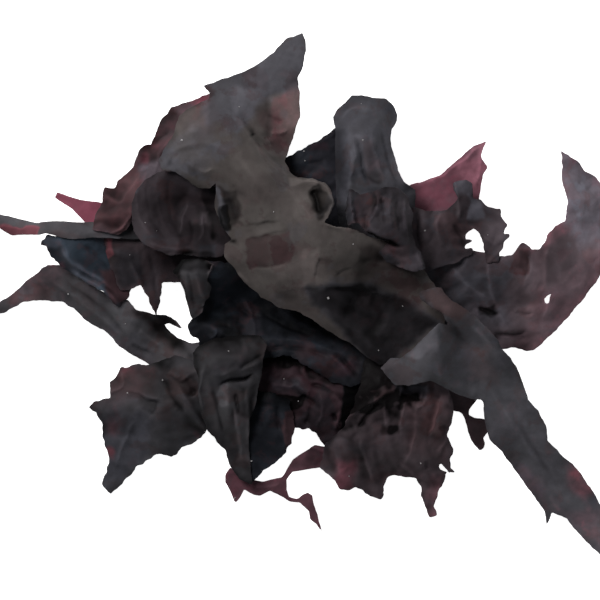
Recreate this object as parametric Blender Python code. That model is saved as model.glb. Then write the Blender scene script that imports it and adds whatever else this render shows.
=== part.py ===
"""Clump of whole leaf dulse: dried fronds heaped flat on a table, seen from above.

Every frond is one thin wavy solid. It starts as a sheet of a triangular lattice
that all fronds share, takes its height from a few anchor points and a rippled
margin, is laid on the fronds under it, and is cut to its outline in plan.
Because all sheets share the lattice, a frond that is higher at the corners of a
triangle is higher all over it, so no two fronds can pass through each other.
"""

import math

import bmesh
import bpy
import numpy as np
from mathutils import Matrix

MM = 0.001

# The fronds
THICKNESS = 1.0 * MM  # of every frond, measured upright
GAP = 0.4 * MM  # air left between a frond and what it lies on
RIPPLE_PITCH = 23.0 * MM  # along the margin, crest to crest
RIPPLE_REACH = 9.0 * MM  # how far the margin's ripple runs into the blade

# The lattice under the whole clump
CELL = 6.5 * MM  # side of its triangles
PLAN_MIN = (-131.63 * MM, -111.39 * MM)  # uneven, so that no corner falls on an outline
PLAN_MAX = (136.37 * MM, 112.61 * MM)

# How heights are worked out
ANCHOR_ROUNDING = 7.0 * MM  # rounds the surface off at its anchors
DRAPE_STEPS = 5  # how far a frond bridges from what lifts it
OUTLINE_STEP = 0.5 * MM  # spacing of the tests along an outline
CUTTER_HEIGHT = 0.2

# Colours, as linear red, green, blue
BROWN_GREY = (0.060, 0.052, 0.050)
SLATE = (0.036, 0.035, 0.041)
BLACK_BROWN = (0.018, 0.013, 0.015)
BLACK_TEAL = (0.010, 0.014, 0.018)
MAUVE_BROWN = (0.045, 0.028, 0.030)
ROSE = (0.150, 0.055, 0.075)
CRIMSON = (0.070, 0.024, 0.032)

# From the lowest frond to the highest. Outlines are x, y and anchors are x, y and
# the height of the upper face, all in mm, with x to the right and y away.
FRONDS = {
    "lacy_strand": dict(
        colour=CRIMSON,
        ripple=0.6,
        outline=(
            (-28, -67), (-24, -71), (-15, -73), (-7, -71), (-3, -64), (6, -58), (16, -60),
            (14, -70), (8, -67), (-3, -69), (-5.5, -72), (-5.4, -76), (-4.3, -79.2),
            (-1, -79.9), (1, -78.2), (3, -77.3), (5, -78.5), (5.4, -82), (7, -86), (7.6, -89),
            (9.4, -94.5), (6.4, -89.8), (4, -88), (3.6, -84.8), (0, -81.4), (-4, -81),
            (-8, -78.6), (-12, -76.6), (-16, -78.6), (-18.6, -78.2), (-22.4, -76), (-24, -79),
            (-26, -81.6), (-28.4, -76), (-30, -73), (-30, -70),
        ),
        anchors=((-27, -68, 5), (-26, -81, 0.5), (-10, -75, 4), (-3, -80, 1.5), (4, -80, 3),
                 (8, -92, 0.5), (0, -63, 6), (15, -65, 7)),
    ),
    "rose_spike": dict(
        colour=ROSE,
        ripple=0.3,
        outline=(
            (-97, 43), (-88, 40), (-79, 39), (-60, 38), (-46, 38), (-42, 30), (-58, 24),
            (-76, 25), (-83, 28), (-86.4, 31.6), (-90.6, 36), (-98, 41),
        ),
        anchors=((-97, 42, 13), (-85, 36, 14), (-67, 31, 9), (-76, 28, 12), (-44, 34, 0.5)),
    ),
    "rose_wing": dict(
        colour=ROSE,
        ripple=0.8,
        outline=(
            (44, 46), (48, 47), (56, 50), (63, 56), (69, 61.6), (74, 63), (72, 57), (75, 53),
            (73, 50), (72, 43), (71.4, 38.6), (66, 33), (62, 26), (56, 18), (40, 12),
            (28, 16), (28, 28), (36, 38),
        ),
        anchors=((74, 63, 22), (46, 46, 15), (60, 44, 13), (73, 44, 15), (58, 24, 8),
                 (38, 34, 10), (30, 18, 0.5)),
    ),
    "right_frond": dict(
        colour=MAUVE_BROWN,
        ripple=2.0,
        outline=(
            (104, 60), (108.4, 57.2), (112, 54.6), (114, 51.6), (119, 49.6), (123, 42), (126, 26),
            (124.6, 15.6), (119.6, 8.6), (113.6, 0.4), (107.6, -6.8), (102, -12.8), (96.8, -18),
            (93.6, -20.2), (90.4, -20.4), (86.4, -19), (81, -19.6), (72, -20), (58, -17),
            (42, -13), (26, -6), (18, 4), (26, 14), (42, 16), (56, 18), (66, 20), (71, 19),
            (74, 19.2), (79, 17.4), (84.6, 17.8), (86.6, 21), (88.4, 23), (90.4, 22.2),
            (92.4, 20.4), (95.6, 20.4), (97.8, 23.4), (99, 26.6), (102, 29.6), (106.2, 31.8),
            (107, 38.4), (104.4, 48), (104.8, 54),
        ),
        anchors=((104, 60, 16), (120, 47, 3), (126, 25, 0.5), (111, 38, 15), (112, 20, 9),
                 (115, 4, 6), (96, -17, 3), (100, 2, 15), (90, 12, 19), (84, 2, 14), (66, 10, 20),
                 (60, -4, 13), (75, -16, 12), (40, 14, 8), (22, 2, 3), (42, -11, 6)),
    ),
    "small_lobe": dict(
        colour=BLACK_BROWN,
        ripple=0.3,
        outline=(
            (54, -34), (68, -36), (71.6, -38.4), (69.6, -41.6), (67.8, -44), (67.8, -46),
            (70, -47.3), (74, -47.8), (77, -51), (74.6, -53.6), (73.8, -55.4), (74.4, -58),
            (73.6, -59.8), (72, -60.4), (69.6, -57.6), (67.4, -53), (66.3, -48), (65.2, -45.4),
            (61, -44.2), (54, -44),
        ),
        anchors=((56, -38, 12), (67, -40, 9), (71, -51, 5), (72, -60, 0.5)),
    ),
    "left_fork": dict(
        colour=SLATE,
        ripple=1.6,
        outline=(
            (-126, -5), (-120, 0), (-116, 2), (-109, 8), (-101, 14), (-92, 14), (-86, 9),
            (-80, 4), (-73, 1), (-69, 0), (-65, -4), (-58, -6), (-54, -6), (-50, -8),
            (-46.6, -11.8), (-49.6, -10.4), (-52.2, -9.2), (-54.6, -10), (-53, -12),
            (-49.4, -14.6), (-45, -17), (-41, -17), (-28, -16), (-14, -12),
            (-8, -20), (-18, -30), (-34, -33), (-50, -31), (-60, -26), (-66, -22.6),
            (-72, -19), (-78, -12.4), (-85, -9), (-91, -3), (-95, -1), (-106, 0), (-112, -1.4),
            (-119, -5.2),
        ),
        anchors=((-126, -5, 0.5), (-112, 2, 6), (-102, 12, 11), (-96, 4, 6), (-84, 4, 15),
                 (-78, -11, 6), (-68, -8, 15), (-70, -18, 8), (-58, -7, 9), (-48, -13, 7),
                 (-45, -22, 14), (-55, -27, 8), (-28, -24, 9), (-10, -18, 3)),
    ),
    "teal_blade": dict(
        colour=BLACK_TEAL,
        ripple=0.9,
        outline=(
            (-104, 22), (-101, 26), (-95, 25), (-88, 25), (-80, 26), (-74, 27), (-67, 24),
            (-65, 12), (-68, 2), (-73, -3), (-78, 3), (-84, 6), (-90, 10), (-95.6, 13.4),
            (-99.6, 17.6), (-101, 21),
        ),
        anchors=((-104, 22, 9), (-98, 19, 9), (-95, 22, 17), (-90, 16, 19), (-87, 8, 13),
                 (-82, 12, 14), (-78, 10, 17), (-75, 3, 15), (-73, -3, 12), (-70, 12, 9),
                 (-74, 24, 12)),
    ),
    "mauve_underblade": dict(
        colour=BLACK_BROWN,
        ripple=0.6,
        outline=(
            (-78, 27), (-77, 17), (-72, 4), (-68, 4), (-63.4, 6), (-61.4, 3), (-58.6, -4),
            (-57.4, -7), (-56, 0), (-55, 7), (-51, 7), (-44, 8), (-34, 8), (-25, 11),
            (-24, 26), (-32, 32), (-44, 38), (-62, 34),
        ),
        anchors=((-75, 22, 15), (-70, 6, 11), (-58, -5, 9), (-50, 9, 11), (-35, 22, 17),
                 (-60, 22, 18), (-27, 18, 16)),
    ),
    "left_ribbon": dict(
        colour=SLATE,
        ripple=1.2,
        outline=(
            (-126, 33.4), (-120, 34.4), (-112, 32.4), (-105, 30.8), (-97, 31.6), (-89, 31),
            (-82, 31),
            (-68, 33), (-50, 34), (-48, 27), (-66, 24), (-83, 25), (-90, 24), (-96, 25),
            (-101, 26.6), (-104, 26), (-109, 26), (-116, 26), (-121, 29), (-126, 31),
        ),
        anchors=((-126, 32, 0.5), (-112, 29, 6), (-100, 28, 15), (-88, 27, 21), (-70, 29, 19),
                 (-49, 31, 12)),
    ),
    "shoulder_blade": dict(
        colour=MAUVE_BROWN,
        ripple=1.6,
        outline=(
            (-83, 28), (-81.4, 34), (-79, 39), (-78.4, 45), (-74, 44.4), (-72, 48), (-66.4, 53),
            (-64, 60.6), (-62.6, 61.8), (-59.6, 62), (-57, 68), (-55, 73),
            (-51, 77), (-45, 79), (-34, 83),
            (-26, 76), (-20, 64), (-18, 48), (-28, 38), (-44, 38), (-56, 36), (-65, 35),
            (-66, 33), (-69, 28), (-72, 26), (-78, 27),
        ),
        anchors=((-83, 29, 17), (-78, 44, 16), (-66, 55, 18), (-54, 73, 14), (-38, 82, 18),
                 (-34, 60, 23), (-60, 50, 27), (-70, 40, 25), (-22, 50, 12), (-72, 28, 17),
                 (-67, 34, 27), (-48, 40, 14), (-52, 62, 26)),
    ),
    "bowl_frond": dict(
        colour=BLACK_BROWN,
        ripple=0.8,
        outline=(
            (-67, 38), (-65, 44), (-61, 48), (-56, 51), (-49, 51), (-42, 49), (-34, 45),
            (-28, 36), (-27, 22), (-31, 17), (-38, 17), (-45, 18), (-52, 18), (-58, 20),
            (-62, 22), (-66, 27), (-67, 32),
        ),
        anchors=((-65, 43, 30), (-56, 50, 34), (-44, 48, 33), (-31, 30, 26), (-36, 18, 33),
                 (-46, 19, 35), (-57, 21, 34), (-66, 32, 31), (-50, 38, 20), (-46, 28, 26),
                 (-58, 34, 28)),
    ),
    "back_blade": dict(
        colour=BLACK_TEAL,
        ripple=0.6,
        outline=(
            (-7, 56), (0, 59.6), (6, 63), (10, 65.4), (14, 68.4), (22, 66), (26, 50),
            (26, 32), (18, 14),
            (6, 14), (-4, 30), (-10, 46),
        ),
        anchors=((-6, 56, 19), (14, 69, 17), (24, 56, 16), (24, 34, 17), (0, 38, 15),
                 (13, 50, 21), (12, 16, 6)),
    ),
    "club_frond": dict(
        colour=SLATE,
        ripple=1.0,
        outline=(
            (14, 69), (13.2, 72.8), (14.4, 75.8), (18, 78.8), (20.8, 81.6), (24.8, 82),
            (28.8, 80.8), (34, 80.4), (37.2, 78), (39, 74), (38.5, 71), (36.6, 68), (36, 64),
            (36.8, 60), (38.8, 52), (41, 47), (46, 44), (46, 28), (38, 12), (26, 8),
            (18, 18), (15, 34), (14, 48), (14, 60),
        ),
        anchors=((22, 81, 18), (37, 76, 17), (14, 71, 19), (26, 70, 27), (37, 58, 22),
                 (15, 58, 22), (23, 58, 31), (30, 54, 25), (34, 46, 31), (44, 43, 25),
                 (16, 46, 22),
                 (19, 40, 31), (27, 36, 25), (28, 12, 12)),
    ),
    "frill_frond": dict(
        colour=BLACK_BROWN,
        ripple=1.2,
        outline=(
            (36, 26), (40, 34), (46, 37), (50, 35.4), (58, 35.8), (61, 38), (63, 41), (61, 43.6),
            (61, 46.8), (66, 47.6), (69, 46.4), (69, 42), (69, 40), (72, 40), (74.4, 37),
            (80, 36.8), (80, 33), (82.4, 30), (81, 26.4), (83.4, 26), (81, 22), (79.6, 19),
            (79.4, 15), (74, 14.6), (74, 19), (73, 22), (71, 27), (69, 29), (66.2, 26), (66.2, 24),
            (68.6, 23.6), (66.2, 22), (66, 20.6), (68.6, 20.4), (68.6, 18), (62, 15), (52, 12),
            (44, 8), (36, 12),
        ),
        anchors=((44, 34, 31), (64, 46, 27), (69, 38, 22), (80, 34, 22), (81, 24, 20),
                 (78, 17, 19.5), (58, 31, 28), (50, 26, 32), (50, 18, 27), (46, 10, 22),
                 (60, 24, 26), (66, 17, 22)),
    ),
    "brown_lobe": dict(
        colour=CRIMSON,
        ripple=1.0,
        outline=(
            (-19, -24), (-12, -18), (2, -18), (14, -24), (30, -30), (34, -42), (24, -50),
            (17, -54), (14, -59), (10, -58.6), (8, -56), (6.4, -52.8), (4, -51.6), (-3, -50.8),
            (-6, -46), (-19, -41),
        ),
        anchors=((-13, -24, 15), (2, -24, 14), (28, -38, 13), (8, -42, 17), (15, -41, 18),
                 (15, -57, 8), (-1, -50, 11), (-12, -36, 16), (-4, -32, 17)),
    ),
    "centre_blade": dict(
        colour=BLACK_TEAL,
        ripple=0.5,
        outline=(
            (-40, 16), (-20, 14), (0, 2), (20, -12), (30, -22), (27, -32), (20, -35),
            (12, -32), (2, -26), (-4, -22.4), (-14, -22.8), (-20, -27), (-32, -26), (-39, -21),
            (-41, -16), (-44, -13.6), (-44.6, -9.6), (-42.4, -6.4), (-42.2, 2), (-43, 10),
        ),
        anchors=((-36, 14, 16), (-24, 0, 8), (-42, -10, 13), (-28, -10, 14), (-12, -23, 21),
                 (-8, -12, 16), (4, -25, 22), (14, -20, 17), (22, -33, 19), (24, -18, 18),
                 (0, -6, 12), (-30, -25, 16)),
    ),
    "grey_tongue": dict(
        colour=SLATE,
        ripple=0.8,
        outline=(
            (-50.4, 11.4), (-48, 8), (-46, 4), (-45, -2), (-43, -8), (-39, -5), (-38, -1),
            (-36, 1), (-35, 5), (-37, 8), (-36, 10), (-34, 11), (-33, 15), (-40, 16.6),
            (-47, 16),
        ),
        anchors=((-49, 14, 20), (-36, 14, 27), (-40, 6, 24), (-46, 2, 19), (-36, 3, 22),
                 (-42, -6, 17)),
    ),
    "dark_leaf": dict(
        colour=BLACK_TEAL,
        ripple=0.8,
        outline=(
            (-18, -36), (-10, -37), (-4, -40), (-2, -51), (-3, -56), (-7, -63), (-12, -66),
            (-19, -73), (-24, -70), (-25, -58), (-23, -46),
        ),
        anchors=((-16, -38, 18), (-5, -42, 16), (-3, -55, 10), (-12, -65, 7), (-21, -71, 5),
                 (-20, -52, 12), (-11, -52, 15)),
    ),
    "lower_left_blade": dict(
        colour=SLATE,
        ripple=1.8,
        outline=(
            (-60, -26), (-67, -26), (-72, -27), (-76, -33), (-76.4, -39), (-82, -40.6),
            (-86, -43.2), (-81.6, -45.4), (-79, -50), (-78.8, -58), (-77.6, -60.4),
            (-76.6, -64), (-79.6, -74.4), (-76, -78), (-71, -73), (-65, -66.6), (-57, -61.6),
            (-51.6, -63), (-49, -62), (-47, -58.6), (-43, -58), (-39, -54), (-32, -48),
            (-30, -34), (-36, -26), (-50, -22),
        ),
        anchors=((-70, -27, 8), (-85, -43, 2), (-78, -58, 4), (-76, -77, 0.5), (-60, -62, 5),
                 (-43, -57, 8), (-66, -44, 13), (-58, -34, 12), (-48, -42, 19), (-34, -44, 16),
                 (-46, -25, 19), (-34, -30, 20)),
    ),
    "pleated_drape": dict(
        colour=SLATE,
        ripple=0.8,
        outline=(
            (-43, -21), (-40, -18), (-34, -15), (-24, -14), (-16, -14), (-13, -18),
            (-14.6, -23), (-15.2, -30), (-16.8, -34.4), (-17.2, -40), (-20, -48), (-20.6, -60),
            (-19, -74), (-24, -72),
            (-28, -67), (-30, -60), (-33, -57), (-37, -52), (-39.4, -45), (-40.8, -38),
            (-40.4, -31), (-42.4, -26),
        ),
        anchors=((-41, -21, 22), (-28, -16, 23), (-16, -16, 26), (-24, -26, 30),
                 (-15, -26, 28), (-32, -28, 28), (-28, -33, 22), (-20, -32, 24), (-29, -42, 24),
                 (-20, -44, 23), (-25, -52, 16), (-36, -50, 14), (-20, -72, 5), (-40, -36, 21)),
    ),
    "lower_right_frond": dict(
        colour=MAUVE_BROWN,
        ripple=1.8,
        outline=(
            (18, -50), (10, -58), (8, -67), (13, -71), (16, -76.2), (20, -76), (22.4, -75),
            (26, -77.2), (32.2, -80.2), (33.6, -78), (34, -73), (35.4, -70.4), (44, -70.8),
            (46.6, -71.6), (48.4, -75), (49.6, -82), (51.8, -87.4), (55.4, -86.4), (53.8, -82.4),
            (56, -76), (58, -73), (58.6, -69.6), (62.2, -69), (60.6, -67.4), (60.4, -64),
            (61.8, -60), (59, -54.6), (60.6, -49), (61.4, -43), (59.6, -36), (52, -24),
            (44, -12), (32, -12), (26, -24), (22, -40),
        ),
        anchors=((18, -50, 15), (9, -62, 7), (16, -74, 3), (32, -80, 1), (22, -62, 12),
                 (32, -52, 19), (44, -70, 6), (53, -86, 0.5), (61, -64, 5), (45, -56, 18),
                 (60, -44, 16), (46, -34, 22), (28, -38, 22), (38, -14, 20)),
    ),
    "main_blade": dict(
        colour=BROWN_GREY,
        ripple=1.0,
        outline=(
            (-56, 56), (-53, 61), (-50, 66), (-48, 73), (-43, 77), (-36, 80), (-36, 82.6),
            (-38.6, 85.2), (-32, 87.2), (-22, 90.8), (-15, 95), (-10, 99), (-5, 104), (1, 106),
            (2.4, 101), (1.4, 93), (-1, 88), (0, 82), (0, 73), (-3, 64), (-5, 58), (-6, 55),
            (-4, 51), (-1, 48.4), (5, 48.2), (10, 46.4), (12.6, 43), (13.4, 38), (12, 34),
            (9.6, 30.6), (14, 29), (21, 28), (28, 25), (40, 22), (48, 14), (56, 2), (58, -8),
            (52, -20), (40, -26), (32, -26), (27, -23), (21, -18), (14, -14), (8, -10), (0, -5),
            (-8, -3), (-15, 1), (-20, 5), (-24, 9), (-27, 14), (-30, 17), (-30, 22), (-27, 24),
            (-31, 29), (-34, 37), (-33, 47), (-36, 44), (-40, 44), (-44, 47), (-50, 51),
            (-55, 51),
        ),
        anchors=((-55, 54, 34), (-49, 68, 38), (-38, 85, 30), (-30, 78, 36), (-18, 92, 30),
                 (1, 105, 33), (-12, 80, 29), (0, 80, 23), (-14, 69, 29), (-6, 58, 25),
                 (-22, 61, 43), (-12, 52, 45), (-44, 58, 41), (-40, 46, 33), (-32, 38, 32),
                 (-31, 24, 32), (-20, 38, 46), (-26, 12, 34), (-10, 20, 47), (-14, 5, 37),
                 (0, 38, 43), (11, 43, 47), (2, -2, 35), (6, 12, 46), (20, 22, 45),
                 (12, 2, 39), (24, 10, 38), (18, -12, 30), (30, -4, 29), (28, -20, 27),
                 (40, 12, 36), (48, 2, 32), (44, -20, 28)),
    ),
    "crumple_knot": dict(
        colour=BLACK_BROWN,
        ripple=1.5,
        outline=(
            (19, 29), (18, 36), (19, 44), (24, 42), (31, 44), (38, 45), (43, 41), (44.6, 34),
            (44.4, 28), (45.6, 23), (48.4, 17), (49.8, 12.4), (46, 11.4), (40, 12.6), (34, 15),
            (31, 19), (35, 23), (30, 25), (26, 27), (23, 31),
        ),
        anchors=((20, 32, 44), (20, 43, 42), (30, 43, 40), (41, 41, 37), (28, 34, 42),
                 (35, 34, 47), (38, 26, 46), (44, 27, 38), (47, 14, 38), (40, 20, 42),
                 (33, 17, 43)),
    ),
    "long_ribbon": dict(
        colour=SLATE,
        ripple=1.2,
        outline=(
            (32, -27), (34, -25), (36, -23), (40, -23), (44, -20), (48, -16), (52, -12),
            (55, -9), (59, -10), (56, -5), (52, -3), (48, 0), (47, 3), (50, 4), (53, 5),
            (56, 5), (57, 3), (60, 0), (65, -3), (70, -7), (76, -13), (81, -20), (86, -26),
            (89, -33), (91, -40), (95, -44), (98, -50), (99, -56), (104.4, -61.8),
            (108.6, -65.2), (112.6, -69.8), (116.6, -75.4), (120.4, -82), (125, -93), (126, -106),
            (121, -103), (113, -95), (107, -88), (101, -85), (99, -90.8), (98.3, -85),
            (92.4, -76.6), (86, -68), (80, -60), (76, -56),
            (74.4, -53), (73.4, -47), (73.2, -41), (72, -39.6), (68, -39.6), (62, -37.4),
            (56, -34), (52, -32), (47, -33), (43, -34), (38, -34), (36, -32),
        ),
        anchors=((33, -26, 31), (40, -23, 33), (48, -16, 39), (55, -10, 47), (52, -20, 43),
                 (51, -31, 34), (41, -33, 28), (60, -20, 37), (64, -14, 34), (49, 2, 42),
                 (56, 2, 43), (64, -5, 41), (72, -12, 38), (80, -20, 32), (70, -24, 30),
                 (64, -36, 26), (76, -40, 24), (88, -36, 20), (90, -50, 21), (86, -66, 12),
                 (106, -66, 13), (102, -80, 9), (99, -90, 2), (125, -104, 0.5)),
    ),
}


def clear_scene():
    for thing in list(bpy.data.objects):
        bpy.data.objects.remove(thing)


def lattice_mesh():
    """Equilateral triangles over the whole plan, all split the same way."""
    columns = math.ceil((PLAN_MAX[0] - PLAN_MIN[0]) / CELL)
    row_height = CELL * math.sqrt(3) / 2
    rows = math.ceil((PLAN_MAX[1] - PLAN_MIN[1]) / row_height)
    columns += math.ceil(rows / 2)  # the slant of the rows uses up half a cell each
    grid = bmesh.new()
    bmesh.ops.create_grid(grid, x_segments=columns, y_segments=rows, size=0.5)
    upright = Matrix.Diagonal((columns * CELL, rows * row_height, 1, 1))
    slant = Matrix.Identity(4)
    slant[0][1] = -0.5 * CELL / row_height
    centre = ((PLAN_MIN[0] + PLAN_MAX[0]) / 2, (PLAN_MIN[1] + PLAN_MAX[1]) / 2, 0)
    bmesh.ops.transform(grid, matrix=Matrix.Translation(centre) @ slant @ upright,
                        verts=grid.verts)
    bmesh.ops.triangulate(grid, faces=grid.faces, quad_method="SHORT_EDGE")
    mesh = bpy.data.meshes.new("lattice")
    grid.to_mesh(mesh)
    grid.free()
    return mesh


def along(outline, step):
    """Points every step along a closed outline, and how far round each one is."""
    ends = np.roll(outline, -1, axis=0)
    points, distances, start = [], [], 0.0
    for a, b in zip(outline, ends):
        length = np.linalg.norm(b - a)
        for share in np.arange(0, 1, step / length):
            points.append(a + share * (b - a))
            distances.append(start + share * length)
        start += length
    return np.array(points), np.array(distances)


def inside(outline, points):
    """Which points lie in a closed outline, by counting the edges to their right."""
    found = np.zeros(len(points), bool)
    for a, b in zip(outline, np.roll(outline, -1, axis=0)):
        spans = (points[:, 1] < a[1]) != (points[:, 1] < b[1])
        rise = b[1] - a[1] if b[1] != a[1] else 1.0
        crossing = a[0] + (points[:, 1] - a[1]) / rise * (b[0] - a[0])
        found ^= spans & (points[:, 0] < crossing)
    return found


def touched(outline, places, triangles):
    """The lattice triangles that an outline's area reaches into."""
    corners_in = inside(outline, places)[triangles].any(axis=1)
    samples, _ = along(outline, OUTLINE_STEP)
    a, b, c = (places[triangles[:, k]] for k in range(3))
    reached = corners_in.copy()
    for point in samples:
        near = np.abs(a - point).max(axis=1) < 2 * CELL
        sides = [np.cross(q[near] - p[near], point - p[near]) for p, q in ((a, b), (b, c), (c, a))]
        holds = (np.array(sides) >= 0).all(axis=0) | (np.array(sides) <= 0).all(axis=0)
        reached[np.flatnonzero(near)[holds]] = True
    return reached


def height_through(anchors, points):
    """A smooth surface through the anchors, read at the points."""
    places, heights = anchors[:, :2], anchors[:, 2]
    middle = heights.mean()

    def spread(p, q):
        return np.sqrt(((p[:, None] - q[None]) ** 2).sum(axis=2) + ANCHOR_ROUNDING**2)

    weights = np.linalg.solve(spread(places, places), heights - middle)
    return middle + spread(points, places) @ weights


def margin_ripple(outline, points, depth):
    """Waves along the margin that die away into the blade."""
    samples, distances = along(outline, OUTLINE_STEP)
    apart = np.linalg.norm(points[:, None] - samples[None], axis=2)
    nearest = apart.argmin(axis=1)
    waves = round(distances[-1] / RIPPLE_PITCH)
    turn = 2 * math.pi * waves * distances[nearest] / distances[-1]
    return depth * np.exp(-apart.min(axis=1) / RIPPLE_REACH) * np.sin(turn)


def lift_clear(underside, floor, links):
    """The upward shift that clears the floor, spread to the neighbours as a stiff leaf does."""
    needed = np.maximum(floor - underside, 0)
    lift = needed.copy()
    for _ in range(DRAPE_STEPS):
        total, count = lift.copy(), np.ones(len(lift))
        for p, q in links:
            np.add.at(total, p, lift[q])
            np.add.at(count, p, 1)
        lift = np.maximum(needed, total / count)
    return lift


def material(name, colour):
    made = bpy.data.materials.new(name)
    made.use_nodes = True
    shader = made.node_tree.nodes["Principled BSDF"]
    shader.inputs["Base Color"].default_value = (*colour, 1)
    shader.inputs["Roughness"].default_value = 0.5
    shader.inputs["Metallic"].default_value = 0
    return made


def sheet(name, lattice, kept, heights):
    """The kept triangles of the lattice at their heights, with a thickness below them."""
    body = bmesh.new()
    body.from_mesh(lattice)
    body.faces.ensure_lookup_table()
    unused = [face for face, keep in zip(body.faces, kept) if not keep]
    for vertex, height in zip(body.verts, heights):
        vertex.co.z = height
    bmesh.ops.delete(body, geom=unused, context="FACES")
    top = list(body.faces)
    lower = bmesh.ops.extrude_face_region(body, geom=top, use_keep_orig=True)["geom"]
    sunk = [part for part in lower if isinstance(part, bmesh.types.BMVert)]
    bmesh.ops.translate(body, verts=sunk, vec=(0, 0, -THICKNESS))
    bmesh.ops.recalc_face_normals(body, faces=body.faces)
    mesh = bpy.data.meshes.new(name)
    body.to_mesh(mesh)
    body.free()
    return bpy.data.objects.new(name, mesh)


def cutter(name, outline):
    """An upright prism with the frond's outline."""
    flat = bpy.data.curves.new(name, "CURVE")
    flat.dimensions = "2D"
    flat.fill_mode = "BOTH"
    flat.extrude = CUTTER_HEIGHT
    spline = flat.splines.new("POLY")
    spline.points.add(len(outline) - 1)
    for point, place in zip(spline.points, outline):
        point.co = (*place, 0, 1)
    spline.use_cyclic_u = True
    drawn = bpy.data.objects.new(name, flat)
    bpy.context.scene.collection.objects.link(drawn)
    graph = bpy.context.evaluated_depsgraph_get()
    mesh = bpy.data.meshes.new_from_object(drawn.evaluated_get(graph))
    bpy.data.objects.remove(drawn)
    solid = bmesh.new()
    solid.from_mesh(mesh)
    bmesh.ops.remove_doubles(solid, verts=solid.verts, dist=0.01 * MM)
    bmesh.ops.recalc_face_normals(solid, faces=solid.faces)
    solid.to_mesh(mesh)
    solid.free()
    made = bpy.data.objects.new(name, mesh)
    made.hide_render = True
    made.display_type = "WIRE"
    return made


def build():
    clear_scene()
    fronds = bpy.data.collections.new("leaf_dulse")
    cutters = bpy.data.collections.new("outlines")
    for collection in (fronds, cutters):
        bpy.context.scene.collection.children.link(collection)

    lattice = lattice_mesh()
    places = np.array([vertex.co[:2] for vertex in lattice.vertices])
    triangles = np.array([face.vertices[:] for face in lattice.polygons])
    edges = np.array([edge.vertices[:] for edge in lattice.edges])
    laid = np.zeros(len(places))  # top of what lies at each lattice point so far
    bare = np.ones(len(places), bool)

    for name, frond in FRONDS.items():
        outline = np.array(frond["outline"]) * MM
        anchors = np.array(frond["anchors"]) * MM
        kept = touched(outline, places, triangles)
        used = np.unique(triangles[kept])
        floor = np.where(bare[used], 0, laid[used] + GAP)
        height = height_through(anchors, places[used])
        height += margin_ripple(outline, places[used], frond["ripple"] * MM)
        room = (height - THICKNESS - floor).min()
        height -= max(room, 0)  # a frond that floats comes down until it rests

        order = np.full(len(places), -1)
        order[used] = np.arange(len(used))
        own = order[edges]
        own = own[(own >= 0).all(axis=1)]
        links = ((own[:, 0], own[:, 1]), (own[:, 1], own[:, 0]))
        height += lift_clear(height - THICKNESS, floor, links)
        laid[used], bare[used] = height, False

        whole = np.zeros(len(places))
        whole[used] = height
        body = sheet(name, lattice, kept, whole)
        body.data.materials.append(material(name, frond["colour"]))
        fronds.objects.link(body)
        knife = cutter(name + "_outline", outline)
        cutters.objects.link(knife)
        cut = body.modifiers.new("outline", "BOOLEAN")
        cut.operation = "INTERSECT"
        cut.solver = "EXACT"
        cut.object = knife

    bpy.data.meshes.remove(lattice)


build()
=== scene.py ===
import math
import bpy
import numpy as np
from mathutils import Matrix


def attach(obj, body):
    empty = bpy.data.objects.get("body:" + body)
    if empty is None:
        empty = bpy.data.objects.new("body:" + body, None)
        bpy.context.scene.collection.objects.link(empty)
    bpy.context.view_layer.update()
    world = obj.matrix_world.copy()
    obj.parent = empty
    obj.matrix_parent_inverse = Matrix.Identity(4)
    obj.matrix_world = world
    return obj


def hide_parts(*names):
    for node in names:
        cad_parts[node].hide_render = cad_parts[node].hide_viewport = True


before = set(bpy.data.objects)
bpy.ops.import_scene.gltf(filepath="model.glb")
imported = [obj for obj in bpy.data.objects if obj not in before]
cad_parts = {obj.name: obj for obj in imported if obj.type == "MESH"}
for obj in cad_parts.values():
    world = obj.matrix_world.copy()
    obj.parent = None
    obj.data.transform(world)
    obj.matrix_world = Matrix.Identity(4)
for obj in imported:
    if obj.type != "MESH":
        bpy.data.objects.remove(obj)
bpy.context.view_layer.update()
mm = 0.001


# Shader maths as Python expressions

class Wire:
    def __init__(self, tree, socket):
        self.tree, self.socket = tree, socket

    def maths(self, operation, first, second):
        return self.tree.node("ShaderNodeMath", {"operation": operation}, {0: first, 1: second})

    def __add__(self, other):
        return self.maths("ADD", self, other)

    def __sub__(self, other):
        return self.maths("SUBTRACT", self, other)

    def __rsub__(self, other):
        return self.maths("SUBTRACT", other, self)

    def __mul__(self, other):
        return self.maths("MULTIPLY", self, other)

    __radd__, __rmul__ = __add__, __mul__


class Tree:
    def __init__(self, tree):
        self.tree = tree
        self.tree.nodes.clear()

    def node(self, kind, settings, values, out=0):
        made = self.tree.nodes.new(kind)
        for name, value in settings.items():
            setattr(made, name, value)
        for name, value in values.items():
            if isinstance(value, Wire):
                self.tree.links.new(value.socket, made.inputs[name])
            else:
                made.inputs[name].default_value = value
        return Wire(self, made.outputs[out] if made.outputs else None)


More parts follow.
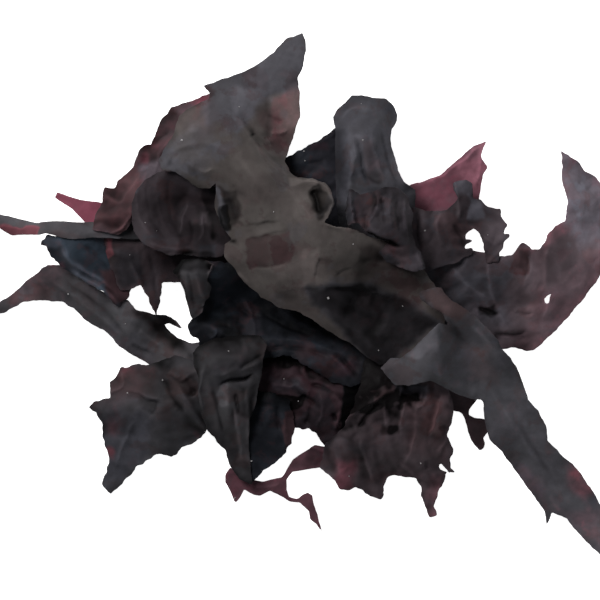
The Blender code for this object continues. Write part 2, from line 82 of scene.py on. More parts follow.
class Shader(Tree):
    def __init__(self, name):
        self.material = bpy.data.materials.new(name)
        self.material.use_nodes = True
        super().__init__(self.material.node_tree)

    def noise(self, scale, detail, rough=0.55):
        place = self.node("ShaderNodeTexCoord", {}, {}, "Object")
        return self.node("ShaderNodeTexNoise", {"noise_dimensions": "3D"},
                         {"Vector": place, "Scale": scale, "Detail": detail, "Roughness": rough})

    def range(self, value, low, high, start=0.0, end=1.0):
        return self.node("ShaderNodeMapRange", {"clamp": True, "interpolation_type": "SMOOTHSTEP"},
                         {"Value": value, "From Min": low, "From Max": high,
                          "To Min": start, "To Max": end})

    def mix(self, share, *colours):
        first, second = ((*c, 1) if isinstance(c, tuple) else c for c in colours)
        return self.node("ShaderNodeMix", {"data_type": "RGBA"}, {0: share, 6: first, 7: second}, 2)

    def painted(self, label):
        return self.node("ShaderNodeAttribute", {"attribute_name": label}, {}, "Fac")

    def surface(self, looks):
        skin = self.node("ShaderNodeBsdfPrincipled", {}, looks)
        self.node("ShaderNodeOutputMaterial", {}, {"Surface": skin})
        return self.material


# Finishes of the dried leaf. Colours are linear red, green, blue

finishes = {
    "brownGrey": {"slot": "brown_grey_blade", "cool": (0.069, 0.067, 0.076),
                  "deep": (0.057, 0.048, 0.046), "light": (0.073, 0.065, 0.061),
                  "brown": (0.044, 0.027, 0.028), "rose": (0.13, 0.046, 0.054),
                  "rough": 0.6, "gloss": 0.05},
    "slate": {"slot": "slate_blade", "cool": (0.04, 0.04, 0.048),
              "deep": (0.031, 0.029, 0.032), "light": (0.045, 0.044, 0.048),
              "brown": (0.038, 0.026, 0.027), "rose": (0.14, 0.046, 0.058),
              "rough": 0.58, "gloss": 0.05},
    "blackBrown": {"slot": "black_brown_blade", "cool": (0.027, 0.026, 0.031),
                   "deep": (0.02, 0.015, 0.0168), "light": (0.034, 0.027, 0.0305),
                   "brown": (0.035, 0.019, 0.02), "rose": (0.12, 0.034, 0.042),
                   "rough": 0.56, "gloss": 0.04},
    "blackTeal": {"slot": "black_teal_blade", "cool": (0.0125, 0.0165, 0.022),
                  "deep": (0.0068, 0.0073, 0.0092), "light": (0.0178, 0.0182, 0.0228),
                  "brown": (0.024, 0.014, 0.016), "rose": (0.09, 0.026, 0.036),
                  "rough": 0.54, "gloss": 0.03},
    "mauveBrown": {"slot": "mauve_brown_blade", "cool": (0.054, 0.052, 0.062),
                   "deep": (0.037, 0.027, 0.03), "light": (0.061, 0.047, 0.053),
                   "brown": (0.052, 0.028, 0.03), "rose": (0.15, 0.046, 0.062),
                   "rough": 0.6, "gloss": 0.05},
    "rose": {"slot": "rose_blade", "cool": (0.11, 0.07, 0.085),
             "deep": (0.105, 0.042, 0.055), "light": (0.155, 0.066, 0.086),
             "brown": (0.15, 0.042, 0.062), "rose": (0.25, 0.104, 0.136),
             "rough": 0.62, "gloss": 0.06},
    "crimson": {"slot": "crimson_blade", "cool": (0.02, 0.018, 0.022),
                "deep": (0.024, 0.013, 0.016), "light": (0.044, 0.023, 0.028),
                "brown": (0.046, 0.016, 0.021), "rose": (0.13, 0.036, 0.052),
                "rough": 0.58, "gloss": 0.04},
}
leafSkin = {
    "patches": 42, "mottle": 230, "fibres": 480, "pores": 1500,  # noise scales, per metre
    "stains": {"cool": (64, 3, 0.54, 0.61, 0.35),  # noise scale and detail, where a stain
               "brown": (88, 4, 0.53, 0.60, 0.40),  # starts and is full, strength
               "rose": (120, 4, 0.58, 0.66, 0.12)},
    "patchEdge": (0.34, 0.66), "mottleEdge": (0.25, 0.75), "paintEdge": (0.2, 0.7),
    "unevenPaint": (0.75, 1.2),
    "unshaded": 0.98, "darkest": 0.06, "mottling": (0.89, 1.11),  # brightness; unshaded is a leaf with no painted shade or highlight
    "polish": (-0.07, 0.10),  # how far roughness strays
    "bump": 0.3, "bumpHeight": 0.2 * mm,
}
madeFinishes = {}


def finish(name):
    if name in madeFinishes:
        return madeFinishes[name]
    look, leafy, skin = finishes[name], Shader(name), leafSkin
    broad = leafy.range(leafy.noise(skin["patches"], 3), *skin["patchEdge"])
    mottle = leafy.noise(skin["mottle"], 6, 0.62)
    base = leafy.mix(broad, look["deep"], look["light"])
    for label, (scale, detail, start, full, strength) in skin["stains"].items():
        stain = leafy.range(leafy.noise(scale, detail, 0.6), start, full) * strength
        uneven = leafy.painted(label) * leafy.range(mottle, *skin["paintEdge"], *skin["unevenPaint"])
        base = leafy.mix(leafy.range(uneven + stain, 0.0, 1.0), base, look[label])
    # The shade attribute scales the colour: painted shade and highlight, together with the leaf's own
    # darker and paler parts
    lit = leafy.painted("shade") + skin["unshaded"]
    lit = lit.maths("MAXIMUM", lit, skin["darkest"])
    paintedLightAndTone = lit * leafy.range(mottle, *skin["mottleEdge"], *skin["mottling"])
    base = leafy.node("ShaderNodeVectorMath", {"operation": "SCALE"}, {0: base, 3: paintedLightAndTone})
    polish = (look["rough"] + part for part in skin["polish"])
    rough = leafy.range(mottle, *skin["mottleEdge"], *polish)
    pores = leafy.noise(skin["pores"], 3, 0.6) * 0.3 + leafy.noise(skin["fibres"], 5, 0.6)
    bump = leafy.node("ShaderNodeBump", {}, {"Height": pores, "Strength": skin["bump"],
                                             "Distance": skin["bumpHeight"]})
    madeFinishes[name] = leafy.surface({"Base Color": base, "Roughness": rough, "Normal": bump,
                                        "Specular IOR Level": look["gloss"]})
    return madeFinishes[name]


# One fine square lattice under the whole clump, which all fronds share
lattice = {
    "step": 0.5 * mm, "halfWidth": 134 * mm, "halfDepth": 114 * mm,
    "border": 6 * mm,  # of lattice kept round a frond
    "leastCut": 0.08,  # between a cut and a lattice point, as a share of a step
}
leaf = {
    "thickness": 0.4 * mm,
    "air": 0.15 * mm,  # between one frond and the next
    "smoothing": 1.9 * mm,  # takes the flat facets off the frame's solids
    "stiffness": 1.6 * mm,  # how wide a frond bridges over what lifts it
    "settling": 2.0 * mm,  # how far a margin may sink onto the frond under it
    "settlingReach": 4.0 * mm, "settlingBlur": 1.0 * mm,
    "overhang": 1.0 * mm,  # round a frond, where it is lifted over what lies below too
    "coverBlur": 1.5 * mm,
    "ragged": 0.7 * mm,  # how far the torn margin wanders from the frame's outline
    "raggedHole": 0.3 * mm,
    "creaseShadeSize": (1.5 * mm, 0.4 * mm),  # width and height over which crests get painted highlight and hollows painted shade
}
acrossX = np.arange(-lattice["halfWidth"], lattice["halfWidth"], lattice["step"])
acrossY = np.arange(-lattice["halfDepth"], lattice["halfDepth"], lattice["step"])
laid = np.zeros((len(acrossY), len(acrossX)))  # top of what lies there so far
layers = np.zeros(laid.shape)  # how many fronds lie there so far


# Fields on the lattice

def blur(field, width):
    sigma = width / lattice["step"]
    reach = max(1, math.ceil(3 * sigma))
    kernel = np.exp(-0.5 * (np.arange(-reach, reach + 1) / sigma) ** 2)
    kernel /= kernel.sum()
    padded = np.pad(field, reach, mode="edge")
    rows = sum(k * padded[i:i + field.shape[0], :] for i, k in enumerate(kernel))
    return sum(k * rows[:, i:i + field.shape[1]] for i, k in enumerate(kernel))


def noise(x, y, size, seed):  # from -1 to 1, with hills about one size apart
    x, y = x / size, y / size
    cellX, cellY = np.floor(x).astype(np.int64), np.floor(y).astype(np.int64)
    partX, partY = x - cellX, y - cellY

    def corner(i, j):
        mixed = (cellX + i) * 374761393 + (cellY + j) * 668265263 + seed * 97463477
        mixed = (mixed ^ (mixed >> 13)) * 1274126177
        angle = ((mixed ^ (mixed >> 16)) & 1023) * (math.pi / 512)
        return np.cos(angle) * (partX - i) + np.sin(angle) * (partY - j)

    easeX, easeY = (part ** 3 * (part * (part * 6 - 15) + 10) for part in (partX, partY))
    low, high = (corner(0, j) + easeX * (corner(1, j) - corner(0, j)) for j in (0, 1))
    return (low + easeY * (high - low)) * 1.4


def topOfNode(name):
    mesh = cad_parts[name].data
    co = np.array([v.co for v in mesh.vertices])
    places, same = np.unique(np.round(co, 7), axis=0, return_inverse=True)
    faces = same.reshape(-1)[np.array([p.vertices[:] for p in mesh.polygons])]
    a, b, c = (places[faces[:, k]] for k in range(3))
    normal = np.cross(b - a, c - a)
    upward = normal[:, 2] > 0.02 * np.linalg.norm(normal, axis=1)
    return places, faces[upward]


def outlineOf(places, faces):
    edges = {edge for a, b, c in faces.tolist() for edge in ((a, b), (b, c), (c, a))}
    following = {}
    for a, b in sorted(edges):
        if (b, a) not in edges:
            following.setdefault(a, []).append(b)
    loops = []
    while following:
        here, loop = next(iter(following)), []
        while here in following:
            loop.append(here)
            ways = following[here]
            if len(ways) == 1:
                del following[here]
            here = ways.pop()
        loops.append(loop)
    return places[max(loops, key=len)][:, :2]


def rounded(outline):
    following = np.roll(outline, -1, axis=0)
    cut = np.stack([0.8 * outline + 0.2 * following, 0.2 * outline + 0.8 * following], axis=1)
    return cut.reshape(-1, 2)


def toSegment(x, y, a, b, length):  # how far off, and the nearest place as a share of the length
    dx, dy = b[0] - a[0], b[1] - a[1]
    share = np.clip(((x - a[0]) * dx + (y - a[1]) * dy) / length ** 2, 0, 1)
    return np.hypot(x - a[0] - share * dx, y - a[1] - share * dy), share


def toOutline(outline, x, y):  # depth inside, negative outside, and the nearest place round it
    nearest, round_ = np.full(x.shape, 1e9), np.zeros(x.shape)
    inside = np.zeros(x.shape, bool)
    start = 0.0
    for a, b in zip(outline, np.roll(outline, -1, axis=0)):
        length = math.hypot(b[0] - a[0], b[1] - a[1])
        if length < 1e-7:
            continue
        apart, share = toSegment(x, y, a, b, length)
        closer = apart < nearest
        nearest = np.where(closer, apart, nearest)
        round_ = np.where(closer, start + share * length, round_)
        if a[1] != b[1]:
            crossing = a[0] + (y - a[1]) / (b[1] - a[1]) * (b[0] - a[0])
            inside ^= ((y < a[1]) != (y < b[1])) & (x < crossing)
        start += length
    return np.where(inside, nearest, -nearest), round_


def heightOf(places, faces, x, y):
    height, known = np.zeros(x.shape), np.zeros(x.shape)
    for a, b, c in places[faces]:
        low = np.minimum(np.minimum(a, b), c) - lattice["step"]
        high = np.maximum(np.maximum(a, b), c) + lattice["step"]
        i0, i1 = np.searchsorted(x[0], (low[0], high[0]))
        j0, j1 = np.searchsorted(y[:, 0], (low[1], high[1]))
        px, py = x[j0:j1, i0:i1], y[j0:j1, i0:i1]
        area = (b[0] - a[0]) * (c[1] - a[1]) - (c[0] - a[0]) * (b[1] - a[1])
        if area < 1e-12:
            continue
        u = ((px - a[0]) * (c[1] - a[1]) - (c[0] - a[0]) * (py - a[1])) / area
        v = ((b[0] - a[0]) * (py - a[1]) - (px - a[0]) * (b[1] - a[1])) / area
        hit = (u >= -0.01) & (v >= -0.01) & (u + v <= 1.01)
        height[j0:j1, i0:i1][hit] = (a[2] + u * (b[2] - a[2]) + v * (c[2] - a[2]))[hit]
        known[j0:j1, i0:i1][hit] = 1
    share = blur(known, leaf["smoothing"])
    smooth = blur(height, leaf["smoothing"]) / np.maximum(share, 1e-9)
    return np.where(share > 1e-6, smooth, height.max())


def drape(height, floor, over):
    needed = np.where(over, np.maximum(floor + leaf["air"] + leaf["thickness"] - height, 0), 0)
    lift = needed
    for _ in range(10):
        lift = np.maximum(needed, blur(lift, leaf["stiffness"]))
    return height + lift


# Relief and paint of one frond. Places, widths and heights are in mm, from the middle of the clump

usual = {  # where a frond's own entry says nothing
    "wrinkle": 1.0, "crinkle": 0.09, "crush": 0,
    "grain": 0,  # which way the leaf grew, in degrees
    "ragged": 1.0, "curl": 24, "curlWidth": 3.0, "settled": 0.7,
    # creaseShading: strength of the painted shade in hollows and painted highlight on crests
    "rose": 0, "roseRim": 0, "roseReach": 3, "brown": 0, "cool": 0, "shade": 0, "creaseShading": 0.3,
    "holes": (), "folds": (), "crumples": (), "rolls": (),
}
waves = {  # size in mm, height, and seed on top of the frond's own
    "teeth": (4.5, 1, 0), "smallTeeth": (2, 0.6, 9), "holeTeeth": (2.5, 1, 11),
    "broad": (17, 1, 1), "folds": (13, 1, 2), "small": (7, 1, 6), "tiny": (4.6, 1, 12),
    "fine": (3.2, 1, 3), "finest": (1.6, 0.5, 4),
    "wander": (21, 6 * mm, 5),  # bends the wrinkles
    "wobble": (5, 0.6 * mm, 7), "uneven": (9, 0.6, 10),  # for folds that are drawn by hand
    "margin": (16, 1.6, 8),  # curls up here and down there
    "warp": (7, 1.6 * mm, 15), "smallWarp": (3, 0.6 * mm, 16),  # moves the edges of paint
}
shares = {"broad": 0.8, "folds": 0.6, "small": 0.32, "crushedSmall": 0.6, "crushedTiny": 0.4}
stretches = {"broad": 0.45, "folds": 0.5, "small": 0.7}  # wrinkles are longer along the grain


def wave(spec, label, x, y):
    size, height, seed = waves[label]
    return height * noise(x, y, size * mm, spec["seed"] + seed)


def corners(points):
    return np.array(points, float).reshape(-1, 2)


def outlined(points):  # two points are the corners of a box
    if len(points) == 4:
        points = [points[k] for k in (0, 1, 0, 3, 2, 3, 2, 1)]
    return corners(points) * mm


def smoothLine(points):
    line = corners(points)
    for _ in range(2):
        inner = np.stack([0.75 * line[:-1] + 0.25 * line[1:], 0.25 * line[:-1] + 0.75 * line[1:]],
                         axis=1).reshape(-1, 2)
        line = np.vstack([line[:1], inner[1:-1], line[-1:]])
    return line * mm


def toLine(x, y, points):  # how far off, on which side, and the nearest place from 0 to 1
    line = smoothLine(points)
    nearest, side, part = np.full(x.shape, 1e9), np.zeros(x.shape), np.zeros(x.shape)
    lengths = np.linalg.norm(np.diff(line, axis=0), axis=1)
    start, whole = 0.0, lengths.sum()
    for a, b, length in zip(line[:-1], line[1:], lengths):
        apart, share = toSegment(x, y, a, b, length)
        closer = apart < nearest
        nearest = np.where(closer, apart, nearest)
        turned = (b[0] - a[0]) * (y - a[1]) - (b[1] - a[1]) * (x - a[0])
        side = np.where(closer, np.sign(turned), side)
        part = np.where(closer, (start + share * length) / whole, part)
        start += length
    return nearest, side, part


def fading(part, steepness):  # towards both ends of a line
    return np.clip(steepness * np.minimum(part, 1 - part) + 0.2, 0, 1)


def near(x, y, px, py, radius, edge=2.5):
    return np.exp(-(np.hypot(x - px * mm, y - py * mm) / (radius * mm)) ** edge)


def creased(field):
    return np.arcsin(0.94 * np.sin(math.pi * 1.5 * field)) * (2 / math.pi)


def relief(spec, x, y):
    turn = math.radians(spec["grain"])
    along = x * math.cos(turn) + y * math.sin(turn)
    beside = -x * math.sin(turn) + y * math.cos(turn)
    wander = wave(spec, "wander", x, y)
    broad = wave(spec, "broad", along * stretches["broad"], beside + wander)
    folds = creased(wave(spec, "folds", along * stretches["folds"], beside + wander))
    small = creased(wave(spec, "small", along * stretches["small"] + wander, beside))
    tiny = creased(wave(spec, "tiny", x + 0.4 * wander, y))
    wrinkle = np.full(x.shape, spec["wrinkle"] * mm)
    for px, py, radius, amount in spec["crumples"]:
        wrinkle += amount * mm * near(x, y, px, py, radius)
    rise = wrinkle * (shares["broad"] * broad + shares["folds"] * folds + shares["small"] * small)
    rise += spec["crinkle"] * mm * (wave(spec, "fine", x, y) + wave(spec, "finest", x, y))
    rise += spec["crush"] * mm * (shares["crushedSmall"] * small + shares["crushedTiny"] * tiny)
    wobble = wave(spec, "wobble", x, y)
    uneven = 1 + wave(spec, "uneven", x, y)
    for height, left, right, *points in spec["folds"]:
        apart, side, part = toLine(x + wobble, y - wobble, points)
        width = np.where(side > 0, left, right) * mm
        rise += height * mm * uneven * fading(part, 5) * np.exp(-(apart / width) ** 1.3)
    return rise


# Painted highlight on crests and painted shade in hollows, by how far the height stands above or below
# its blurred surroundings
def creaseShade(height, over):
    width, tall = leaf["creaseShadeSize"]
    covered = over.astype(float)
    level = blur(height * covered, width) / np.maximum(blur(covered, width), 1e-6)
    return np.clip((height - level) / tall, -1, 1)


def painted(spec, x, y, channel):
    paint = np.full(x.shape, float(spec[channel]))
    warp = wave(spec, "warp", x, y) + wave(spec, "smallWarp", x, y)
    for amount, soft, *points in spec.get(channel + "Areas", ()):
        inward, _ = toOutline(outlined(points), x, y)
        share = np.clip((inward + warp) / (soft * mm) + 0.5, 0, 1)
        paint += amount * share * share * (3 - 2 * share)
    for amount, radius, px, py in spec.get(channel + "Spots", ()):
        paint += amount * near(x + warp, y - warp, px, py, radius)
    for amount, width, *points in spec.get(channel + "Streaks", ()):
        apart, _, part = toLine(x, y, points)
        spread = np.exp(-(np.abs(apart + 0.5 * warp) / (width * mm)) ** 2)
        paint += amount * fading(part, 6) * spread
    return paint


def curl(spec, x, y, depth, round_):  # shift and rise of the margin
    gradY, gradX = np.gradient(depth, lattice["step"])
    length = np.maximum(np.hypot(gradX, gradY), 1e-6)
    inX, inY = gradX / length, gradY / length
    wander = wave(spec, "margin", round_, np.full(x.shape, float(spec["seed"])))
    bend = np.clip(wander, -1, 1) * math.radians(spec["curl"])
    width = np.full(x.shape, spec["curlWidth"] * mm)
    for px, py, radius, wide, degrees in spec["rolls"]:
        share = near(x, y, px, py, radius, 4)
        bend = bend * (1 - share) + math.radians(degrees) * share
        width = width * (1 - share) + wide * mm * share
    gone = np.clip(width - depth, 0, None)
    turn = np.where(np.abs(bend) < 0.02, 0.02, np.abs(bend))
    radius = width / turn
    angle = gone / radius
    shift = gone - radius * np.sin(angle)
    rise = radius * (1 - np.cos(angle)) * np.sign(bend)
    return inX * shift, inY * shift, rise


def clipped(fields, inside):  # the lattice as triangles, cut where inside is 0
    rows, columns = inside.shape
    index = np.arange(rows * columns).reshape(rows, columns)
    a, b = index[:-1, :-1].ravel(), index[:-1, 1:].ravel()
    c, d = index[1:, 1:].ravel(), index[1:, :-1].ravel()
    faces = np.concatenate([np.stack([a, b, c], 1), np.stack([a, c, d], 1)])
    level = inside.ravel()
    values = np.stack([f.ravel() for f in fields], 1)
    kept = level[faces] > 0
    count = kept.sum(1)
    made, cuts, extra = [], {}, []

    def cutPoint(p, q):
        key = (p, q) if p < q else (q, p)
        if key not in cuts:
            share = level[p] / (level[p] - level[q])
            share = min(max(share, lattice["leastCut"]), 1 - lattice["leastCut"])
            cuts[key] = len(values) + len(extra)
            extra.append(values[p] + share * (values[q] - values[p]))
        return cuts[key]

    crossed = (count == 1) | (count == 2)
    for face, keep in zip(faces[crossed], kept[crossed]):
        single = keep.sum() == 1
        k = int(np.argmax(keep) if single else np.argmin(keep))
        p, q, r = np.roll(face, -k)
        first, second = cutPoint(p, q), cutPoint(p, r)
        made += [(p, first, second)] if single else [(q, r, second), (q, second, first)]
    faces = np.concatenate([faces[count == 3], np.array(made, dtype=faces.dtype).reshape(-1, 3)])
    values = np.concatenate([values, np.array(extra).reshape(-1, values.shape[1])])
    used, renamed = np.unique(faces, return_inverse=True)
    return values[used], renamed.reshape(-1, 3)


def largestPart(values, faces):
    owner = np.arange(len(values))
    while True:
        low = owner[faces].min(1)
        changed = owner.copy()
        for k in range(3):
            np.minimum.at(changed, faces[:, k], low)
        changed = changed[changed]
        if (changed == owner).all():
            break
        owner = changed
    names, sizes = np.unique(owner[faces[:, 0]], return_counts=True)
    keep = owner[faces[:, 0]] == names[sizes.argmax()]
    used, renamed = np.unique(faces[keep], return_inverse=True)
    return values[used], renamed.reshape(-1, 3)


def settle(ob, modifier):  # the modifier becomes plain mesh
    graph = bpy.context.evaluated_depsgraph_get()
    whole = bpy.data.meshes.new_from_object(ob.evaluated_get(graph))
    ob.modifiers.remove(modifier)
    ob.data = whole


def frond(spec):
    spec = {**usual, "slot": finishes[spec["finish"]]["slot"], **spec}
    name = spec["node"]
    places, faces = topOfNode(name)
    outline = rounded(outlineOf(places, faces))
    low, high = outline.min(0) - lattice["border"], outline.max(0) + lattice["border"]
    i0, i1 = np.searchsorted(acrossX, (low[0], high[0]))
    j0, j1 = np.searchsorted(acrossY, (low[1], high[1]))
    x, y = np.meshgrid(acrossX[i0:i1], acrossY[j0:j1])
    depth, round_ = toOutline(outline, x, y)
    torn = wave(spec, "teeth", x, y) + wave(spec, "smallTeeth", x, y)
    inside = depth + spec["ragged"] * leaf["ragged"] * torn
    for points in spec["holes"]:
        hole, _ = toOutline(outlined(points), x, y)
        inside = np.minimum(inside, wave(spec, "holeTeeth", x, y) * leaf["raggedHole"] - hole)
    shiftX, shiftY, rise = curl(spec, x, y, depth, round_)
    height = heightOf(places, faces, x, y) + relief(spec, x, y) + rise
    below = laid[j0:j1, i0:i1]
    loose = np.clip(height - below - leaf["air"] - leaf["thickness"], 0, leaf["settling"])
    edge = np.exp(-np.clip(depth, 0, None) / leaf["settlingReach"])
    height -= blur(loose * edge * (below > 0), leaf["settlingBlur"]) * spec["settled"]
    height = drape(height, below, inside > -leaf["overhang"])
    over = inside > -0.5 * lattice["step"]
    below[over] = height[over]
    # Share with no frond beneath. The rose rim is the thin margin's own red, made stronger there as
    # painted light shining up through it from the floor
    backlitShare = blur((layers[j0:j1, i0:i1] == 0).astype(float), leaf["coverBlur"])
    layers[j0:j1, i0:i1][over] += 1
    # Colour paint per channel. The shade channel holds painted shade and highlight (dark troughs,
    # crevices and shadows under edges, pale crests and lit facets) along with the leaf's own darker and
    # paler parts; crease shading adds painted highlight on crests and painted shade in hollows
    paints = {label: painted(spec, x, y, label) for label in ("rose", "brown", "cool", "shade")}
    rim = np.exp(-np.clip(inside, 0, None) / (spec["roseReach"] * mm))
    paints["rose"] += spec["roseRim"] * rim * backlitShare
    paints["shade"] += spec["creaseShading"] * creaseShade(height, over)
    fields = [x + shiftX, y + shiftY, height, *paints.values()]
    values, faces = largestPart(*clipped(fields, inside))
    mesh = bpy.data.meshes.new(name)
    mesh.from_pydata(values[:, :3].tolist(), [], faces.tolist())
    for column, label in enumerate(paints, 3):
        layer = mesh.attributes.new(label, "FLOAT", "POINT")
        layer.data.foreach_set("value", values[:, column].astype(np.float32))
    mesh.shade_smooth()
    ob = bpy.data.objects.new(name + "_leaf", mesh)
    bpy.context.scene.collection.objects.link(ob)
    wall = ob.modifiers.new("wall", "SOLIDIFY")
    wall.thickness = leaf["thickness"]
    wall.offset = -1
    settle(ob, wall)
    ob.data.materials.clear()
    ob.data.materials.append(finish(spec["finish"]))
    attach(ob, "root")
    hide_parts(name)
    print("laid", name, len(ob.data.polygons), "faces")


# Outlines on main_blade that several channels share

trough = (2, 4, 18, 7, 30, 6, 44, 0, 54, -9, 42, -20, 34, -30, 26, -24, 13, -8.5, 5.5, -2)
brownPatch = (-21.2, 24, -4, 27.6, -2.8, 21.2, -3.6, 15.2, -9.6, 13.2, -20, 12.4, -21.6, 15.2)
